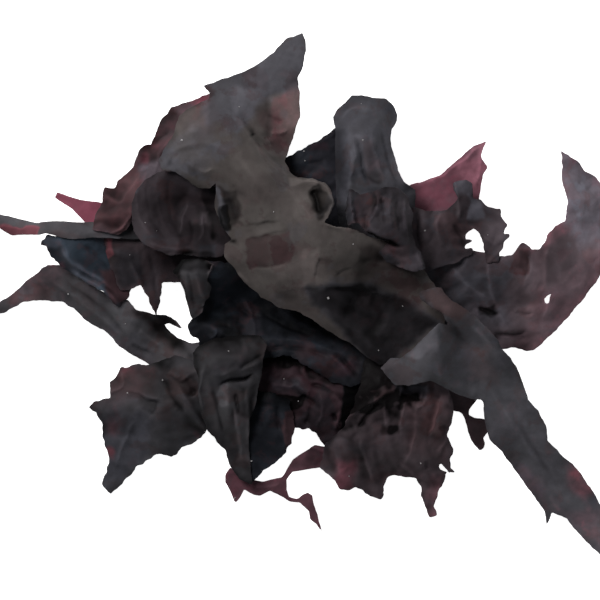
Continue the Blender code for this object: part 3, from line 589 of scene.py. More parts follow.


# The fronds, from the lowest to the highest. Points are x, y, x, y and so on.
# An area holds its strength, softness and outline, or two corners. A spot: strength, radius, x, y.
# A streak: strength, width, points. A fold: height, width to its left and right, points.
# A crumple: x, y, radius, added wrinkle. A roll: x, y, radius, width, degrees

# The shade areas, spots and streaks are partly painted shade and highlight: troughs, crevices and the
# shadows under overlapping edges are painted dark, crests, rims and facets that face the lamp are painted
# pale; the rest is the leaf's own darker and paler parts.
fronds = [
    {"node": "lacy_strand", "finish": "crimson", "seed": 11, "wrinkle": 0.3, "crush": 0.15, "ragged": 0.2,
     "curl": 10, "rose": 0.08, "roseRim": 0.1, "shade": 0.72,
     "shadeAreas": [(-0.85, 4, 2, -56, 18, -68)],
     "folds": [(0.6, 0.7, 0.7, -22, -72, -16, -76, -8, -74), (0.6, 0.8, 0.6, 2, -58, 8, -60, 12, -62)]},
    {"node": "rose_spike", "finish": "rose", "seed": 12, "wrinkle": 0.3, "ragged": 0.3, "curl": 15,
     "brown": 1, "shade": 0.2,
     "shadeAreas": [(-0.3, 6, -70, 40, -46, 22)]},
    {"node": "rose_wing", "finish": "rose", "seed": 13, "wrinkle": 0.5, "crush": 0.15, "ragged": 0.3,
     "curl": 20, "roseRim": 0.1, "shade": 0.2,
     "roseAreas": [(0.3, 6, 62, 54, 74, 64, 74, 40, 66, 42)],
     "shadeAreas": [(0.3, 6, 62, 54, 74, 64, 76, 50, 66, 44), (0.1, 6, 40, 46, 60, 47, 60, 32, 40, 32)],
     "folds": [(0.9, 1, 1.4, 50, 47, 58, 50, 66, 56, 72, 62), (0.7, 0.8, 1.2, 72, 60, 72, 52, 70, 44)]},
    {"node": "right_frond", "finish": "mauveBrown", "seed": 14, "wrinkle": 0.8, "crush": 0.14,
     "grain": 30, "ragged": 0.6, "roseRim": 0.15, "shade": 0.08,
     "roseAreas": [
        (0.12, 10, 84, -18, 96, -22, 124, 6, 126, 22, 112, 16, 98, 4),
        (0.16, 3, 96, 26, 104, 32, 108, 28, 98, 20), (0.08, 2, 92, 18, 98, 18, 98, 0, 92, 2)],
     "brownAreas": [(0.6, 1.2, 85, 21, 91.6, 21, 91.6, 10, 84, 12)],
     "coolAreas": [
        (0.6, 10, 20, 20, 66, 22, 82, 10, 84, -10, 60, -20, 20, -10),
        (0.5, 6, 103, 62, 126, 50, 126, 24, 112, 20, 105, 30)],
     "shadeAreas": [
        (-0.4, 12, 20, 20, 70, 22, 82, 8, 84, -14, 60, -20, 20, -10),
        (1.15, 6, 91, 24, 104, 34, 126, 26, 118, 6, 98, -18, 90, -8),
        (-0.6, 4, 91, 20, 100, 22, 102, 8, 92, 4), (0.75, 4, 79, -3, 92, -2, 94, -18, 80, -18),
        (2.1, 8, 103, 62, 126, 50, 126, 20, 112, 14, 105, 30),
        (-0.3, 1.2, 87, 20, 91.6, 20, 91.6, 11, 88, 13),
        (-0.55, 1.5, 72, -3, 78, -2, 80, -5, 76, -7, 72, -6),
        (-0.45, 1.5, 86, -5, 92, -4, 92, -7, 87, -8), (-0.6, 1.5, 78, -13, 90, -12, 90, -15, 78, -15)],
     "shadeSpots": [(-0.5, 1, 96.4, -0.6)],
     "holes": [(98, -1.2, 97.6, 0.4, 98.8, 1.6, 100.8, 2.8, 100, 0.8, 99.6, -1.2, 98.8, -1.6)],
     "folds": [
        (1, 2, 0.8, 75, 18, 75, 8, 77, 0, 82, -10), (-0.8, 0.5, 2, 91.6, 20, 91.6, 14, 90, 8),
        (0.8, 2.4, 1.4, 100, 24, 97, 12, 100, 0, 97, -12), (0.8, 1.6, 2.8, 112, 42, 112, 28, 118, 14),
        (-1.4, 0.8, 0.6, 71, -3, 76, -5, 80, -6), (-1.2, 0.8, 0.6, 86, -5, 90, -6, 93, -5),
        (-1.2, 0.8, 0.6, 78, -13, 84, -14, 90, -13), (0.7, 1, 1.6, 60, 14, 66, 6, 76, 0)]},
    {"node": "small_lobe", "finish": "blackBrown", "seed": 15, "wrinkle": 0.5, "ragged": 0.5,
     "roseRim": 0.15, "brown": 0.3},
    {"node": "left_fork", "finish": "slate", "seed": 16, "wrinkle": 0.6, "crush": 0.15, "grain": -35,
     "ragged": 0.6, "roseRim": 0.1, "shade": 0.14,
     "roseAreas": [(0.14, 5, -118, 4, -100, 16, -90, 14, -98, 6, -116, -4)],
     "brownAreas": [
        (0.3, 8, -118, 4, -100, 16, -88, 8, -100, 0, -122, -4),
        (0.3, 8, -64, -6, -50, -8, -44, -26, -60, -24)],
     "shadeAreas": [
        (0.45, 5, -116, 4, -100, 14, -94, 10, -98, 0, -116, -2),
        (-0.3, 4, -93, 7, -84, 6, -82, -2, -93, 0), (-0.95, 5, -67, -4, -50, -6, -44, -22, -56, -16),
        (0.25, 5, -74, -4, -70, -4, -60, -16, -66, -18)],
     "roseStreaks": [(0.5, 1, -100, 14.6, -97, 15.2, -93, 14.2)],
     "folds": [
        (1.1, 1, 2.2, -91, 13, -88, 10, -81, 6, -75, 1.6, -73, -1.4),
        (-1, 1.2, 1.4, -92, 6, -84, 1, -76, -6, -70, -14),
        (1, 2, 0.8, -100, 8, -90, 1, -80, -6, -72, -14), (-0.9, 0.7, 1.4, -68, -17, -64, -20, -60, -21),
        (0.8, 0.7, 1.2, -64, -12, -61, -15, -56, -18)]},
    {"node": "teal_blade", "finish": "blackTeal", "seed": 18, "wrinkle": 0.4, "grain": -40, "curl": 12,
     "cool": 0.35, "shade": 0.1,
     "brownAreas": [(0.9, 4, -80, 12, -66, 14, -66, -4, -76, 0)],
     "coolAreas": [(0.7, 4, -97, 25, -74, 27, -76, 12, -84, 12, -92, 18)],
     "shadeAreas": [
        (1.4, 2.5, -104, 26, -94, 26, -94, 21, -102, 21), (0.6, 4, -97, 25, -76, 27, -76, 16, -90, 16)],
     "roseSpots": [(0.3, 2, -95, 13.5)],
     "shadeStreaks": [
        (2.2, 0.9, -94.4, 21.6, -93.2, 17.6, -91.2, 15.2, -87.2, 12, -80.8, 8.4, -76, 5),
        (2.2, 0.9, -91.4, 12.4, -88, 9.4, -81, 5.6, -75.2, 1.6, -73, -1.2),
        (-0.4, 0.8, -92, 16.6, -88.8, 12.6, -84.8, 9.8, -78.4, 6.2, -74, 1.6)],
     "folds": [
        (1.4, 1.8, 0.8, -94.4, 21.6, -93.2, 17.6, -91.2, 15.2, -87.2, 12, -80.8, 8.4, -76, 5),
        (-1.2, 0.8, 0.8, -92, 16.6, -88.8, 12.6, -84.8, 9.8, -78.4, 6.2, -74, 1.6),
        (0.9, 0.8, 1.4, -91.4, 12.4, -88, 9.4, -81, 5.6, -75.2, 1.6),
        (-0.8, 1, 1, -86, 22, -80, 17, -76, 12)]},
    {"node": "mauve_underblade", "finish": "blackBrown", "seed": 17, "wrinkle": 0.6, "crush": 0.2,
     "curl": 10, "rose": 0.04, "brown": 0.15, "shade": 0.05,
     "roseAreas": [(0.5, 1.5, -77.4, 26, -74.6, 26, -74.4, 18, -77, 17)],
     "coolAreas": [(0.7, 5, -74, 20, -64, 20, -62, 6, -72, 4)],
     "shadeAreas": [
        (0.3, 1.5, -77.4, 26, -74.6, 26, -74.4, 18, -77, 17),
        (-0.5, 4, -77, 19, -64, 19, -62, 6, -72, 4)],
     "folds": [
        (0.8, 0.8, 1.4, -68, 16, -64, 8, -60, -2), (-0.8, 1, 1.2, -60, 18, -58, 10, -57, 0),
        (0.7, 1.2, 1, -52, 18, -50, 12, -46, 8)]},
    {"node": "left_ribbon", "finish": "slate", "seed": 19, "wrinkle": 0.35, "ragged": 0.3, "curl": 25,
     "shade": 0.45,
     "roseAreas": [(1.1, 2, -126, 31, -112, 29, -103, 29.4, -106, 25, -120, 26)],
     "brownAreas": [(0.5, 3, -104, 28, -90, 27, -84, 24, -104, 25)],
     "shadeAreas": [
        (-0.85, 2, -72, 32, -60, 20), (-0.85, 2, -126, 31, -112, 29, -103, 29.4, -106, 25, -120, 26),
        (0.35, 5, -126, 35, -96, 33, -96, 29, -126, 31)]},
    {"node": "shoulder_blade", "finish": "mauveBrown", "seed": 20, "wrinkle": 0.8, "crush": 0.2,
     "ragged": 0.6, "rose": 0.1, "roseRim": 0.12, "shade": 0.12,
     "roseAreas": [
        (0.08, 6, -62, 64, -36, 84, -28, 76, -54, 58),
        (0.06, 6, -84, 30, -78, 44, -68, 44, -64, 34, -70, 28),
        (0.1, 5, -66, 56, -60, 64, -54, 62, -62, 52)],
     "brownAreas": [
        (0.8, 5, -84, 30, -78, 46, -66, 54, -62, 46, -66, 34, -70, 26),
        (0.5, 4, -64, 66, -52, 77, -46, 72, -52, 56, -62, 56)],
     "coolAreas": [(0.5, 4, -64, 56, -54, 44)],
     "shadeAreas": [
        (0.1, 6, -46, 72, -36, 84, -28, 76, -40, 68),
        (-0.55, 4, -66, 66, -52, 77, -46, 72, -52, 56, -64, 54),
        (-0.62, 6, -82, 30, -78, 44, -68, 44, -64, 34, -70, 28),
        (-0.3, 3, -60, 60, -54, 60, -54, 54, -60, 55)],
     "roseSpots": [(0.6, 3, -39, 79), (0.55, 2, -62, 56.4)],
     "shadeSpots": [(0.5, 2.4, -44, 73)],
     "shadeStreaks": [
        (1, 0.6, -83, 27.4, -80, 26.8, -75.2, 26.2, -71, 28.6, -68.4, 31.2, -66.8, 33.6, -67.2, 37.2)],
     "folds": [
        (1.3, 0.6, 1.4, -67.2, 37.2, -66.8, 33.6, -68.4, 31.2, -70, 29.2, -75.2, 26.4),
        (1, 0.8, 1.8, -78, 42, -72, 38, -68, 42, -64, 50), (-0.9, 1.4, 0.8, -62, 60, -58, 62, -52, 68),
        (0.9, 1.2, 1, -58, 50, -56, 58, -48, 68)]},
    {"node": "bowl_frond", "finish": "blackBrown", "seed": 21, "wrinkle": 0.35, "grain": 85,
     "ragged": 0.4, "curl": 16, "creaseShading": 0.25, "brown": -0.15, "cool": 0.25,
     "roseAreas": [(0.08, 1.5, -60, 19.8, -46, 17)],
     "brownAreas": [
        (0.25, 3, -56.6, 48, -51, 48, -50, 26, -55, 26),
        (0.5, 1.5, -62, 24.6, -50, 22.6, -42, 23, -42, 20, -60, 19.6),
        (0.25, 2, -46, 38, -40, 38, -40, 30, -46, 31)],
     "coolAreas": [(0.6, 2, -40, 22, -33, 17)],
     "shadeAreas": [
        (-0.14, 3, -42, 40, -34, 20), (0.35, 3, -66, 48, -36, 42),
        (0.3, 3, -68, 48, -61, 49, -60, 40, -68, 40), (-0.2, 4, -60, 40, -48, 40, -48, 24, -60, 25),
        (-0.15, 3, -60, 50, -57, 50, -56, 28, -60, 28), (0.15, 3, -56.6, 44, -51, 44, -50, 28, -55, 28),
        (-0.4, 3, -54, 49, -44, 49, -44, 41, -50, 36, -54, 42),
        (-0.1, 2, -62, 24.4, -50, 22.4, -43, 22.4, -43, 19.6, -60, 19.4),
        (-0.4, 1.5, -60, 19, -46, 19.4, -34, 18.6, -34, 16, -60, 16),
        (0.2, 2, -46, 39, -41, 38, -41, 31, -46, 31), (-0.45, 3, -48, 31, -35, 30, -35, 17, -48, 19),
        (-0.6, 2.2, -39, 46, -32, 47, -28, 40, -27, 20, -34, 22, -37, 32),
        (0.5, 1.2, -39.6, 35, -36.6, 30)],
     "roseSpots": [(0.15, 1.6, -41.6, 31)],
     "folds": [
        (0.5, 1, 1.2, -64.4, 46, -65.2, 38, -63, 30, -57, 24),
        (-0.45, 1, 1, -60.4, 49, -61, 40, -59, 31, -53, 24),
        (0.45, 1.4, 1, -56.4, 50, -57, 42, -55.4, 32, -50, 24),
        (-0.4, 1, 1.2, -52, 49, -52.4, 41, -51.4, 32, -47, 24),
        (1.1, 2.2, 0.7, -44.8, 40, -46, 34, -46.8, 30, -48, 26),
        (-0.7, 0.9, 0.9, -43.6, 32, -42.8, 26, -44, 22), (0.6, 0.8, 1, -39, 34, -38.4, 28, -40, 23),
        (0.7, 0.7, 1.6, -60, 22.6, -54, 21, -48, 20.6, -42, 20.8),
        (-0.8, 0.7, 1.4, -59, 18.4, -50, 18.8, -42, 18.4)]},
    {"node": "back_blade", "finish": "blackTeal", "seed": 23, "wrinkle": 0.5, "crush": 0.3, "curl": 12,
     "roseRim": 0.05, "brown": 0.2, "cool": 0.3, "shade": 0.05,
     "roseAreas": [(0.15, 2.5, 4, 63, 11, 60)],
     "shadeAreas": [(-0.4, 4, -8, 56, 0, 58, 4, 44, -6, 40)],
     "folds": [(0.7, 1, 1.6, -2, 60, 6, 62, 14, 66), (-0.7, 1.2, 1.2, 2, 54, 10, 56)]},
    {"node": "club_frond", "finish": "slate", "seed": 24, "wrinkle": 0.4, "crush": 0.15, "grain": 90,
     "ragged": 0.35, "curl": 22, "cool": 0.5, "shade": 0.28,
     "brownAreas": [(0.4, 2, 23, 64, 28, 64, 34, 48, 27, 46)],
     "coolAreas": [(0.5, 5, 8, 70, 18, 68, 19, 56, 19, 40, 8, 42)],
     "shadeAreas": [
        (-0.12, 6, 12, 72, 24, 84, 40, 78, 38, 66, 18, 66), (-0.6, 3, 19, 52, 33, 43),
        (-0.5, 3, 8, 69, 17, 67, 20, 56, 20, 40, 8, 42), (-0.25, 4, 18, 50, 44, 50, 46, 40, 18, 40),
        (0.2, 6, 19, 64, 40, 62, 44, 44, 19, 42), (0.35, 2, 18.4, 60, 21, 44),
        (-0.3, 3, 36, 64, 41, 56, 44, 46, 38, 50)],
     "shadeSpots": [(0.6, 1.2, 22.8, 65), (0.3, 1.6, 30, 63)],
     "folds": [
        (1.3, 1, 2, 20, 68, 21.6, 60, 21, 52, 19, 44), (-1, 0.8, 1, 23.4, 64, 24.4, 56, 27, 46),
        (1.2, 0.9, 1.4, 28, 67, 30, 58, 34, 46), (-0.9, 0.8, 1, 33, 66, 35, 56, 39, 46),
        (0.9, 0.9, 0.9, 38, 62, 38.6, 54, 42, 46), (0.8, 0.8, 1.6, 16, 72, 20, 77, 28, 76),
        (-0.8, 1, 0.8, 24, 52, 28, 48, 33, 46)]},
    {"node": "frill_frond", "finish": "blackBrown", "seed": 25, "wrinkle": 0.9, "crush": 0.35,
     "ragged": 0.8, "curl": 14, "settled": 1, "brown": 0.05, "cool": 0.2, "shade": 0.3,
     "coolAreas": [(0.5, 3, 60, 48, 70, 42), (0.7, 2, 67, 42, 73, 40, 73, 33, 67, 33)],
     "shadeAreas": [
        (0.5, 3, 40, 46, 50, 28), (0.4, 2, 54, 21, 72, 22, 70, 14, 54, 14),
        (0.9, 2, 67, 42, 73, 40, 73, 33, 67, 33), (1, 3, 60, 48, 70, 42),
        (0.7, 2.5, 53, 36, 58, 36, 58, 31, 54, 31), (-0.4, 3, 61, 30, 67, 32, 67, 21, 60, 21),
        (0.8, 5, 74, 30, 82, 34, 82, 22, 74, 22)],
     "folds": [
        (1.2, 0.8, 0.8, 62, 46, 63, 40, 64, 32), (-1.4, 1, 1.4, 47, 36, 46, 28, 48, 20),
        (1.2, 1.4, 0.8, 56, 36, 54, 28, 57, 20), (-1.2, 0.9, 0.9, 61, 30, 64, 26, 66, 20),
        (1, 0.8, 1.2, 68, 30, 72, 26, 78, 22)]},
    {"node": "brown_lobe", "finish": "crimson", "seed": 28, "wrinkle": 0.7, "crush": 0.45, "curl": 18,
     "cool": 0.3, "shade": -0.38,
     "coolAreas": [
        (0.3, 2, -12, -30.4, 0, -31, 1, -36, -12, -37),
        (0.8, 1.5, 17, -34, 36, -30, 36, -54, 16, -54, 17.4, -44)],
     "shadeAreas": [
        (0.35, 2, -12, -30.4, 0, -31, 1, -36, -4, -38, -12, -36),
        (-0.6, 2, -18, -22, 6, -22, 3, -27, -6, -27.4, -16, -26.6),
        (-0.45, 2, 2, -24, 24, -26, 24, -32, 12, -34, 4, -31),
        (-0.85, 1.5, 17, -34, 36, -30, 36, -54, 16, -54, 17.4, -44),
        (-0.85, 1.5, -18, -37.6, -6, -38.4, 2, -38, 2, -43, -18, -44)],
     "folds": [
        (1.2, 1.2, 0.8, -1.6, -34, 1.6, -36.4, 4, -38), (-1.6, 0.8, 1.6, 0, -37.6, 4, -40, 6, -41),
        (-1.5, 0.8, 1.2, 4, -33.2, 10, -35, 14, -37.6), (1, 1, 1, -12, -33, -6, -35, -1, -34),
        (1.4, 0.5, 1.2, 13.6, -37.6, 16.4, -41, 16.6, -44, 15, -48, 14.4, -52),
        (-1.5, 0.6, 0.8, 13.2, -45, 14.4, -48), (1, 1, 0.7, 8, -38, 9, -44, 7, -50),
        (-0.8, 0.8, 0.8, 4, -42, 4, -46, 2, -50)]},
    {"node": "centre_blade", "finish": "blackTeal", "seed": 26, "wrinkle": 0.6, "crush": 0.35,
     "grain": -20, "curl": 14, "cool": 0.2, "shade": -0.42,
     "roseAreas": [(0.2, 3, 13, -24, 22, -24, 22, -32, 14, -31)],
     "brownAreas": [
        (0.2, 2.5, -23, 0, -16, 0, -15, -14, -23, -14),
        (0.2, 4, -8, -16, 4, -17, 14, -21, 14, -26, 2, -24), (0.35, 4, 4, -20, 24, -22, 24, -32, 8, -30)],
     "shadeAreas": [
        (0.3, 4, -36, 12, -24, 12, -23, -10, -35, -10),
        # painted light in the hollow on the left of the centre blade, lifting the shade that falls there
        (1.6, 5, -36, 14, -22, 14, -14, 4, -18, 0, -34, -2),
        (-0.35, 4, -34, -6, -22, -6, -22, -16, -34, -18), (0.6, 2.5, -23, 0, -16, 0, -15, -14, -23, -14),
        (0.3, 2.5, -14, -14, 6, -15, 20, -19, 20, -22, 6, -19, -14, -19),
        (0.2, 4, -16, -13, 4, -15, 18, -20, 18, -27, 0, -24, -14, -21),
        (0.4, 3, 2, -19, 14, -21, 14, -26, 4, -25), (-0.3, 3, 0, -2, 20, -11, 18, -17, 0, -12),
        (0.12, 3, 12, -24, 22, -26, 22, -32, 13, -31)],
     "shadeSpots": [(0.9, 1.4, -33.4, -12), (0.5, 2, -6, -6), (0.5, 2.4, 2, -9), (0.5, 2, -12, -12)],
     "folds": [
        (1.2, 0.6, 1.2, -34, -10.8, -33.2, -13.2, -35.6, -16),
        (1.2, 0.7, 1.4, -14, -15, -4, -15.4, 8, -18, 18, -22), (-1.2, 1, 0.8, -14, -19, 0, -19, 10, -22),
        (1, 0.8, 1, 12, -22, 17, -26, 20, -31), (-1.2, 0.8, 0.8, 16, -23, 20, -27, 23, -31),
        (-1.4, 1.6, 1.6, -28, 2, -24, -4, -16, -8), (1.1, 0.8, 1.2, -22, 0, -18, -8, -18, -14),
        (1, 0.8, 1.2, -10, -2, -2, -8, 8, -13), (-1, 0.8, 0.8, -14, -6, -6, -11, 4, -14)]},
    {"node": "grey_tongue", "finish": "slate", "seed": 27, "wrinkle": 0.4, "grain": 80, "ragged": 0.4,
     "brown": 0.15, "shade": 0.05,
     "shadeAreas": [
        (-0.9, 2, -55, 18, -35, 18, -35, 12, -55, 10.6),
        (-0.45, 1.5, -50, 11, -47.4, 11, -45.6, 0, -48, 0),
        (0.25, 1.5, -41, 12, -36, 12, -36, 0, -40, -1)],
     "rolls": [(-34, 13, 3.5, 2.2, 150)],
     "folds": [
        (-1.2, 0.6, 1, -48.4, 10.4, -46.4, 7.2, -45.2, 3.2), (1.2, 1, 1, -41, 12, -40, 6, -38, 0),
        (-0.8, 0.8, 0.8, -44, 11, -43, 4, -42, -2),
        (1.4, 0.5, 0.9, -38.8, -2, -37, -1.6, -36.2, -3.2, -38, -4.8, -41.6, -8.8)]},
    {"node": "dark_leaf", "finish": "blackTeal", "seed": 29, "wrinkle": 0.4, "crush": 0.2, "curl": 16,
     "cool": 0.2, "shade": 0.1,
     "brownAreas": [(1, 1.5, -7, -44, 0, -44, -1, -62, -6, -60)],
     "shadeAreas": [
        (0.6, 1.5, -6.4, -46, 0, -46, -1, -60, -6, -58), (-0.8, 4, -18, -34, -4, -36, -4, -42, -18, -42)],
     "folds": [
        (-1.2, 0.8, 1.2, -8.8, -42, -8.8, -48, -8.6, -52), (0.9, 1.2, 1.2, -6.4, -44, -6, -52, -6.4, -60),
        (0.6, 2, 2, -13, -42, -12.6, -50)]},
    {"node": "lower_left_blade", "finish": "slate", "seed": 30, "wrinkle": 0.6, "crush": 0.14,
     "ragged": 0.9, "curl": 18, "cool": 0.2, "shade": -0.26,
     "roseAreas": [(0.14, 6, -76, -26, -60, -26, -62, -40, -82, -44)],
     "brownAreas": [
        (0.6, 6, -76, -26, -58, -26, -58, -38, -70, -38, -86, -42, -80, -36),
        (0.4, 5, -56, -26, -40, -26, -42, -44, -54, -44)],
     "coolAreas": [(0.6, 6, -80, -46, -60, -44, -60, -62, -80, -78)],
     "shadeAreas": [
        (-0.25, 3, -46, -46, -38, -53), (-0.35, 3, -58, -24, -50, -29),
        (-0.22, 5, -56, -32, -40, -30, -38, -54, -54, -52),
        (0.3, 5, -82, -26, -62, -26, -66, -42, -84, -44),
        (-0.3, 3, -80, -46, -68, -46, -66, -54, -80, -54),
        (0.3, 6, -80, -78, -68, -68, -54, -58, -58, -50, -80, -56)],
     "roseSpots": [(0.7, 2.2, -76, -61), (0.35, 4, -75, -51), (0.3, 3, -70, -27)],
     "roseStreaks": [(0.25, 1, -42.4, -52.4, -40.4, -55.2)],
     "folds": [
        (0.9, 1.5, 0.5, -63.6, -37.6, -60.8, -38.8, -58.8, -39.6, -56, -39.6),
        (-1.4, 0.5, 2.5, -68.8, -36.8, -64, -38.4, -60.8, -40.6, -57, -40.8),
        (-1.2, 0.5, 2.5, -56.8, -40.4, -58, -42.8, -59.6, -46),
        (1.6, 0.7, 3, -48.8, -34, -44.8, -40, -41.6, -46, -38.4, -51.2),
        (-1.4, 2, 2, -54, -32, -52, -38, -48.8, -42, -46, -44.8),
        (0.8, 1.5, 0.5, -52.8, -28.8, -50.4, -30, -48.4, -31.6), (-2, 3, 2.5, -46, -31, -42, -38),
        (1, 1, 2, -72, -28, -70, -34, -76, -38), (0.9, 1, 1.8, -66, -48, -70, -56, -74, -66)]},
    {"node": "pleated_drape", "finish": "slate", "seed": 31, "wrinkle": 0.35, "crush": 0.15, "grain": 100,
     "ragged": 0.5, "brown": 0.15, "shade": -0.38,
     "shadeAreas": [
        (-0.2, 3, -42, -12, -14, -12, -16, -28, -42, -30), (0.1, 3, -40, -25, -28, -34),
        (0.5, 1.6, -32.4, -33, -29, -33, -28.4, -42, -31, -42),
        (0.6, 2, -26, -46, -20, -48, -20, -64, -25, -64),
        (-0.3, 3, -24, -34, -18, -34, -18, -48, -24, -46)],
     "folds": [
        (-2.2, 0.5, 1, -32.4, -33.6, -27.2, -32, -21.6, -30.8, -19.2, -29.6),
        (1, 2, 0.8, -32, -30, -24.8, -28.8, -20, -27, -15.2, -24.4),
        (-1, 1.5, 1, -24, -28.4, -21.6, -26, -18, -23.2, -15, -21.8),
        (1.3, 1.6, 1.6, -31.2, -34, -28.8, -40, -28, -46),
        (-1.2, 0.8, 0.6, -26, -36.8, -25.2, -41, -24.6, -46),
        (1, 0.8, 0.8, -26, -44, -25, -50, -24.2, -56, -23, -64), (-0.8, 0.8, 0.8, -27, -43, -25.8, -50),
        (-1, 0.8, 0.8, -35, -35, -33, -42, -31, -52), (0.9, 0.8, 0.8, -21, -36, -21, -48, -20.4, -58),
        (1, 0.6, 1.2, -38.4, -26, -39.6, -32, -40.4, -38, -38.8, -44)]},
    {"node": "lower_right_frond", "finish": "mauveBrown", "seed": 32, "wrinkle": 0.7, "crush": 0.35,
     "grain": 95, "ragged": 0.9, "curl": 16, "roseRim": 0.05, "shade": -0.08,
     "roseAreas": [(0.5, 5, 14, -64, 22, -76), (0.25, 5, 52, -70, 58, -70, 56, -88, 50, -88)],
     "brownAreas": [
        (0.4, 6, 40, -36, 60, -36, 60, -66, 42, -62),
        (0.5, 1.5, 28, -36.4, 34, -32.6, 37.6, -34, 38, -37, 30, -40)],
     "coolAreas": [(0.8, 2, 37, -32, 51, -34, 51, -38.4, 40, -39)],
     "shadeAreas": [
        (-0.4, 1.5, 34, -40.8, 39.6, -42, 40, -52, 36, -53),
        (0.35, 2.5, 54, -37, 60, -37, 57, -52, 53, -52), (0.7, 2, 40, -35, 51, -34, 51, -38.4, 40, -39),
        (0.5, 4, 50, -76, 58, -76, 56, -88, 50, -88), (0.3, 4, 42, -56, 50, -66),
        # painted shade in the crevice under the main blade's tip
        (-0.95, 1.8, 18, -20, 32, -24, 40, -33, 50, -34, 48, -40, 34, -41, 26, -45, 18, -46),
        (0.5, 1.5, 28, -36.4, 34, -32.6, 37.6, -34, 38, -37, 30, -40),
        (-0.45, 6, 16, -44, 36, -34, 38, -46, 20, -54), (-0.6, 2, 33, -50, 40, -53.4),
        (0.6, 1.5, 54, -34, 60, -34.4, 60, -42, 56, -42), (-0.3, 5, 20, -56, 40, -60, 36, -76, 24, -74),
        (-0.35, 5, 8, -50, 30, -50, 26, -64, 10, -68), (-0.65, 2, 34, -38, 46, -38, 45, -43, 35, -43),
        (0.4, 1.5, 24, -38.5, 30, -38, 30, -42, 24, -42), (-0.25, 3, 22, -28, 36, -35)],
     "holes": [(56, -65.6, 56.8, -65.6, 58.4, -67.6, 59.6, -69, 58, -68.8, 56.4, -68, 55.8, -66.8)],
     "folds": [
        (1.6, 1.2, 1, 15, -51.5, 18, -47.5, 24, -43.4, 31, -39.6, 36.8, -35.4, 39, -34.4),
        (-1.6, 0.7, 1.2, 23.6, -50.8, 25.6, -47.2, 28.8, -43.2, 33.2, -41.2),
        (1.3, 0.9, 0.6, 33.4, -40, 33.6, -44.8, 34.6, -50.8), (-4, 3, 3, 40, -37, 48, -38.5),
        (1.3, 3, 0.6, 42, -41.6, 41.2, -44.8, 40, -48, 39.8, -52),
        (0.9, 0.8, 0.8, 50.8, -38.8, 49.2, -41.2, 47, -44),
        (1.4, 2.5, 0.8, 56.4, -36.4, 55.2, -44, 53.6, -50, 52, -55),
        (-1.3, 0.5, 3, 55, -51.2, 57, -50.2, 59.6, -51.6),
        (1, 0.8, 0.8, 59.2, -54.4, 56.4, -58.8, 55.2, -62), (-0.8, 0.8, 0.8, 50, -64, 51.2, -68),
        (0.7, 0.7, 0.7, 40, -65.2, 44, -68.4, 46.4, -70.8), (1, 1.4, 0.8, 24, -56, 26, -64, 30, -74),
        (1, 1.4, 0.8, 46, -46, 46, -56, 42, -66)]},
    {"node": "main_blade", "finish": "brownGrey", "seed": 33, "wrinkle": 0.4, "grain": -40, "ragged": 0.5,
     "curl": 18, "creaseShading": 0.16, "shade": -0.16,
     "roseAreas": [
        (0.1, 1, -24, 91.6, -13.6, 92.8, -13, 83, -22, 84), (0.05, 3, -24, 88, -4, 92, -2, 74, -20, 74),
        (0.26, 3, -10, 80, 2, 86, 0, 72, -4, 60, -12, 66),
        (0.08, 4, -52, 70, -44, 76, -36, 80, -38, 68, -48, 64), (0.11, 1.5, *brownPatch),
        (0.12, 1.2, -3.2, 22, 4, 19.6, 0, 15.6), (0.15, 6, *trough)],
     "brownAreas": [
        (0.5, 3, -18, 76, -8, 76, -4, 60, -8, 56, -14, 62), (0.45, 1.5, *brownPatch),
        (0.12, 1.2, -21.2, 24, -12.8, 25.6, -12.8, 12.8, -20, 12.4, -21.6, 15.2),
        (0.3, 4, 22, 21, 32, 22, 46, 12, 52, 6, 46, -4, 36, 4),
        (0.3, 6, -44, 84, -36, 88, -28, 70, -40, 62)],
     "coolAreas": [
        (1, 6, -40, 86, -22, 94, 2, 108, 4, 92, 0, 84, -12, 82, -24, 66, -36, 70),
        (0.5, 8, -58, 60, -40, 72, -28, 60, -40, 48, -56, 50), (1, 6, *trough),
        (0.8, 1.2, -33.4, 44, -31.4, 44, -28, 25.6, -30.4, 25.6)],
     "shadeAreas": [
        (0.33, 8, -24, 92, 2, 108, 4, 90, 0, 84, -14, 80), (-0.1, 8, -40, 84, -26, 90, -18, 78, -34, 68),
        (0.35, 5, -60, 57, -34, 58, -32, 46, -56, 48),
        (0.5, 4, -26, 84, -16, 84, -12, 67, -20, 64, -26, 74),
        (0.35, 3, -17, 66, -6, 65, -5, 57, -15, 58), (-0.1, 8, -24, 48, -4, 28),
        (-0.15, 1, -24, 91.6, -13.6, 92.8, -13, 83, -22, 84),
        (0.35, 4, -52, 70, -44, 76, -36, 80, -38, 68, -48, 64), (1.6, 5, -11, 80, 2, 86, 0, 70, -12, 64),
        (-0.18, 1.5, *brownPatch), (0.2, 6, -14, 44, 0, 44, 4, 32, -14, 34),
        (0.38, 5, -12, 14, 8, 20, 14, 6, 2, 2, -8, 4), (0.3, 2, 1.2, 20, 7.2, 8),
        (0.2, 5, -14, 46, 0, 44, 2, 32, -8, 30), (-0.3, 3, -9.2, 8, -0.8, 1.2),
        (-0.15, 4, 6.4, 16, 20, 20, 30, 14, 20, 8, 8, 6),
        # painted shade on the trough, the shaded side of the main blade's fold
        (-0.67, 4, 3, 5, 18, 7, 30, 6, 44, 0, 54, -9, 42, -20, 34, -30, 26, -24, 13, -8.5, 5.5, -2),
        (-0.04, 5, 8, 3, 18, 2, 32, -8, 38, -16, 30, -17, 18, -8),
        (0.05, 3, 12, -1, 30, -1, 32, -11, 14, -11), (-0.05, 3, 24, -12, 36, -14, 34, -22, 26, -20),
        (-0.35, 2, 23, 21, 33, 22, 33, 15, 23, 15),
        (-0.36, 6, 22, 14, 30, 20, 46, 14, 52, 4, 34, 4, 22, 5),
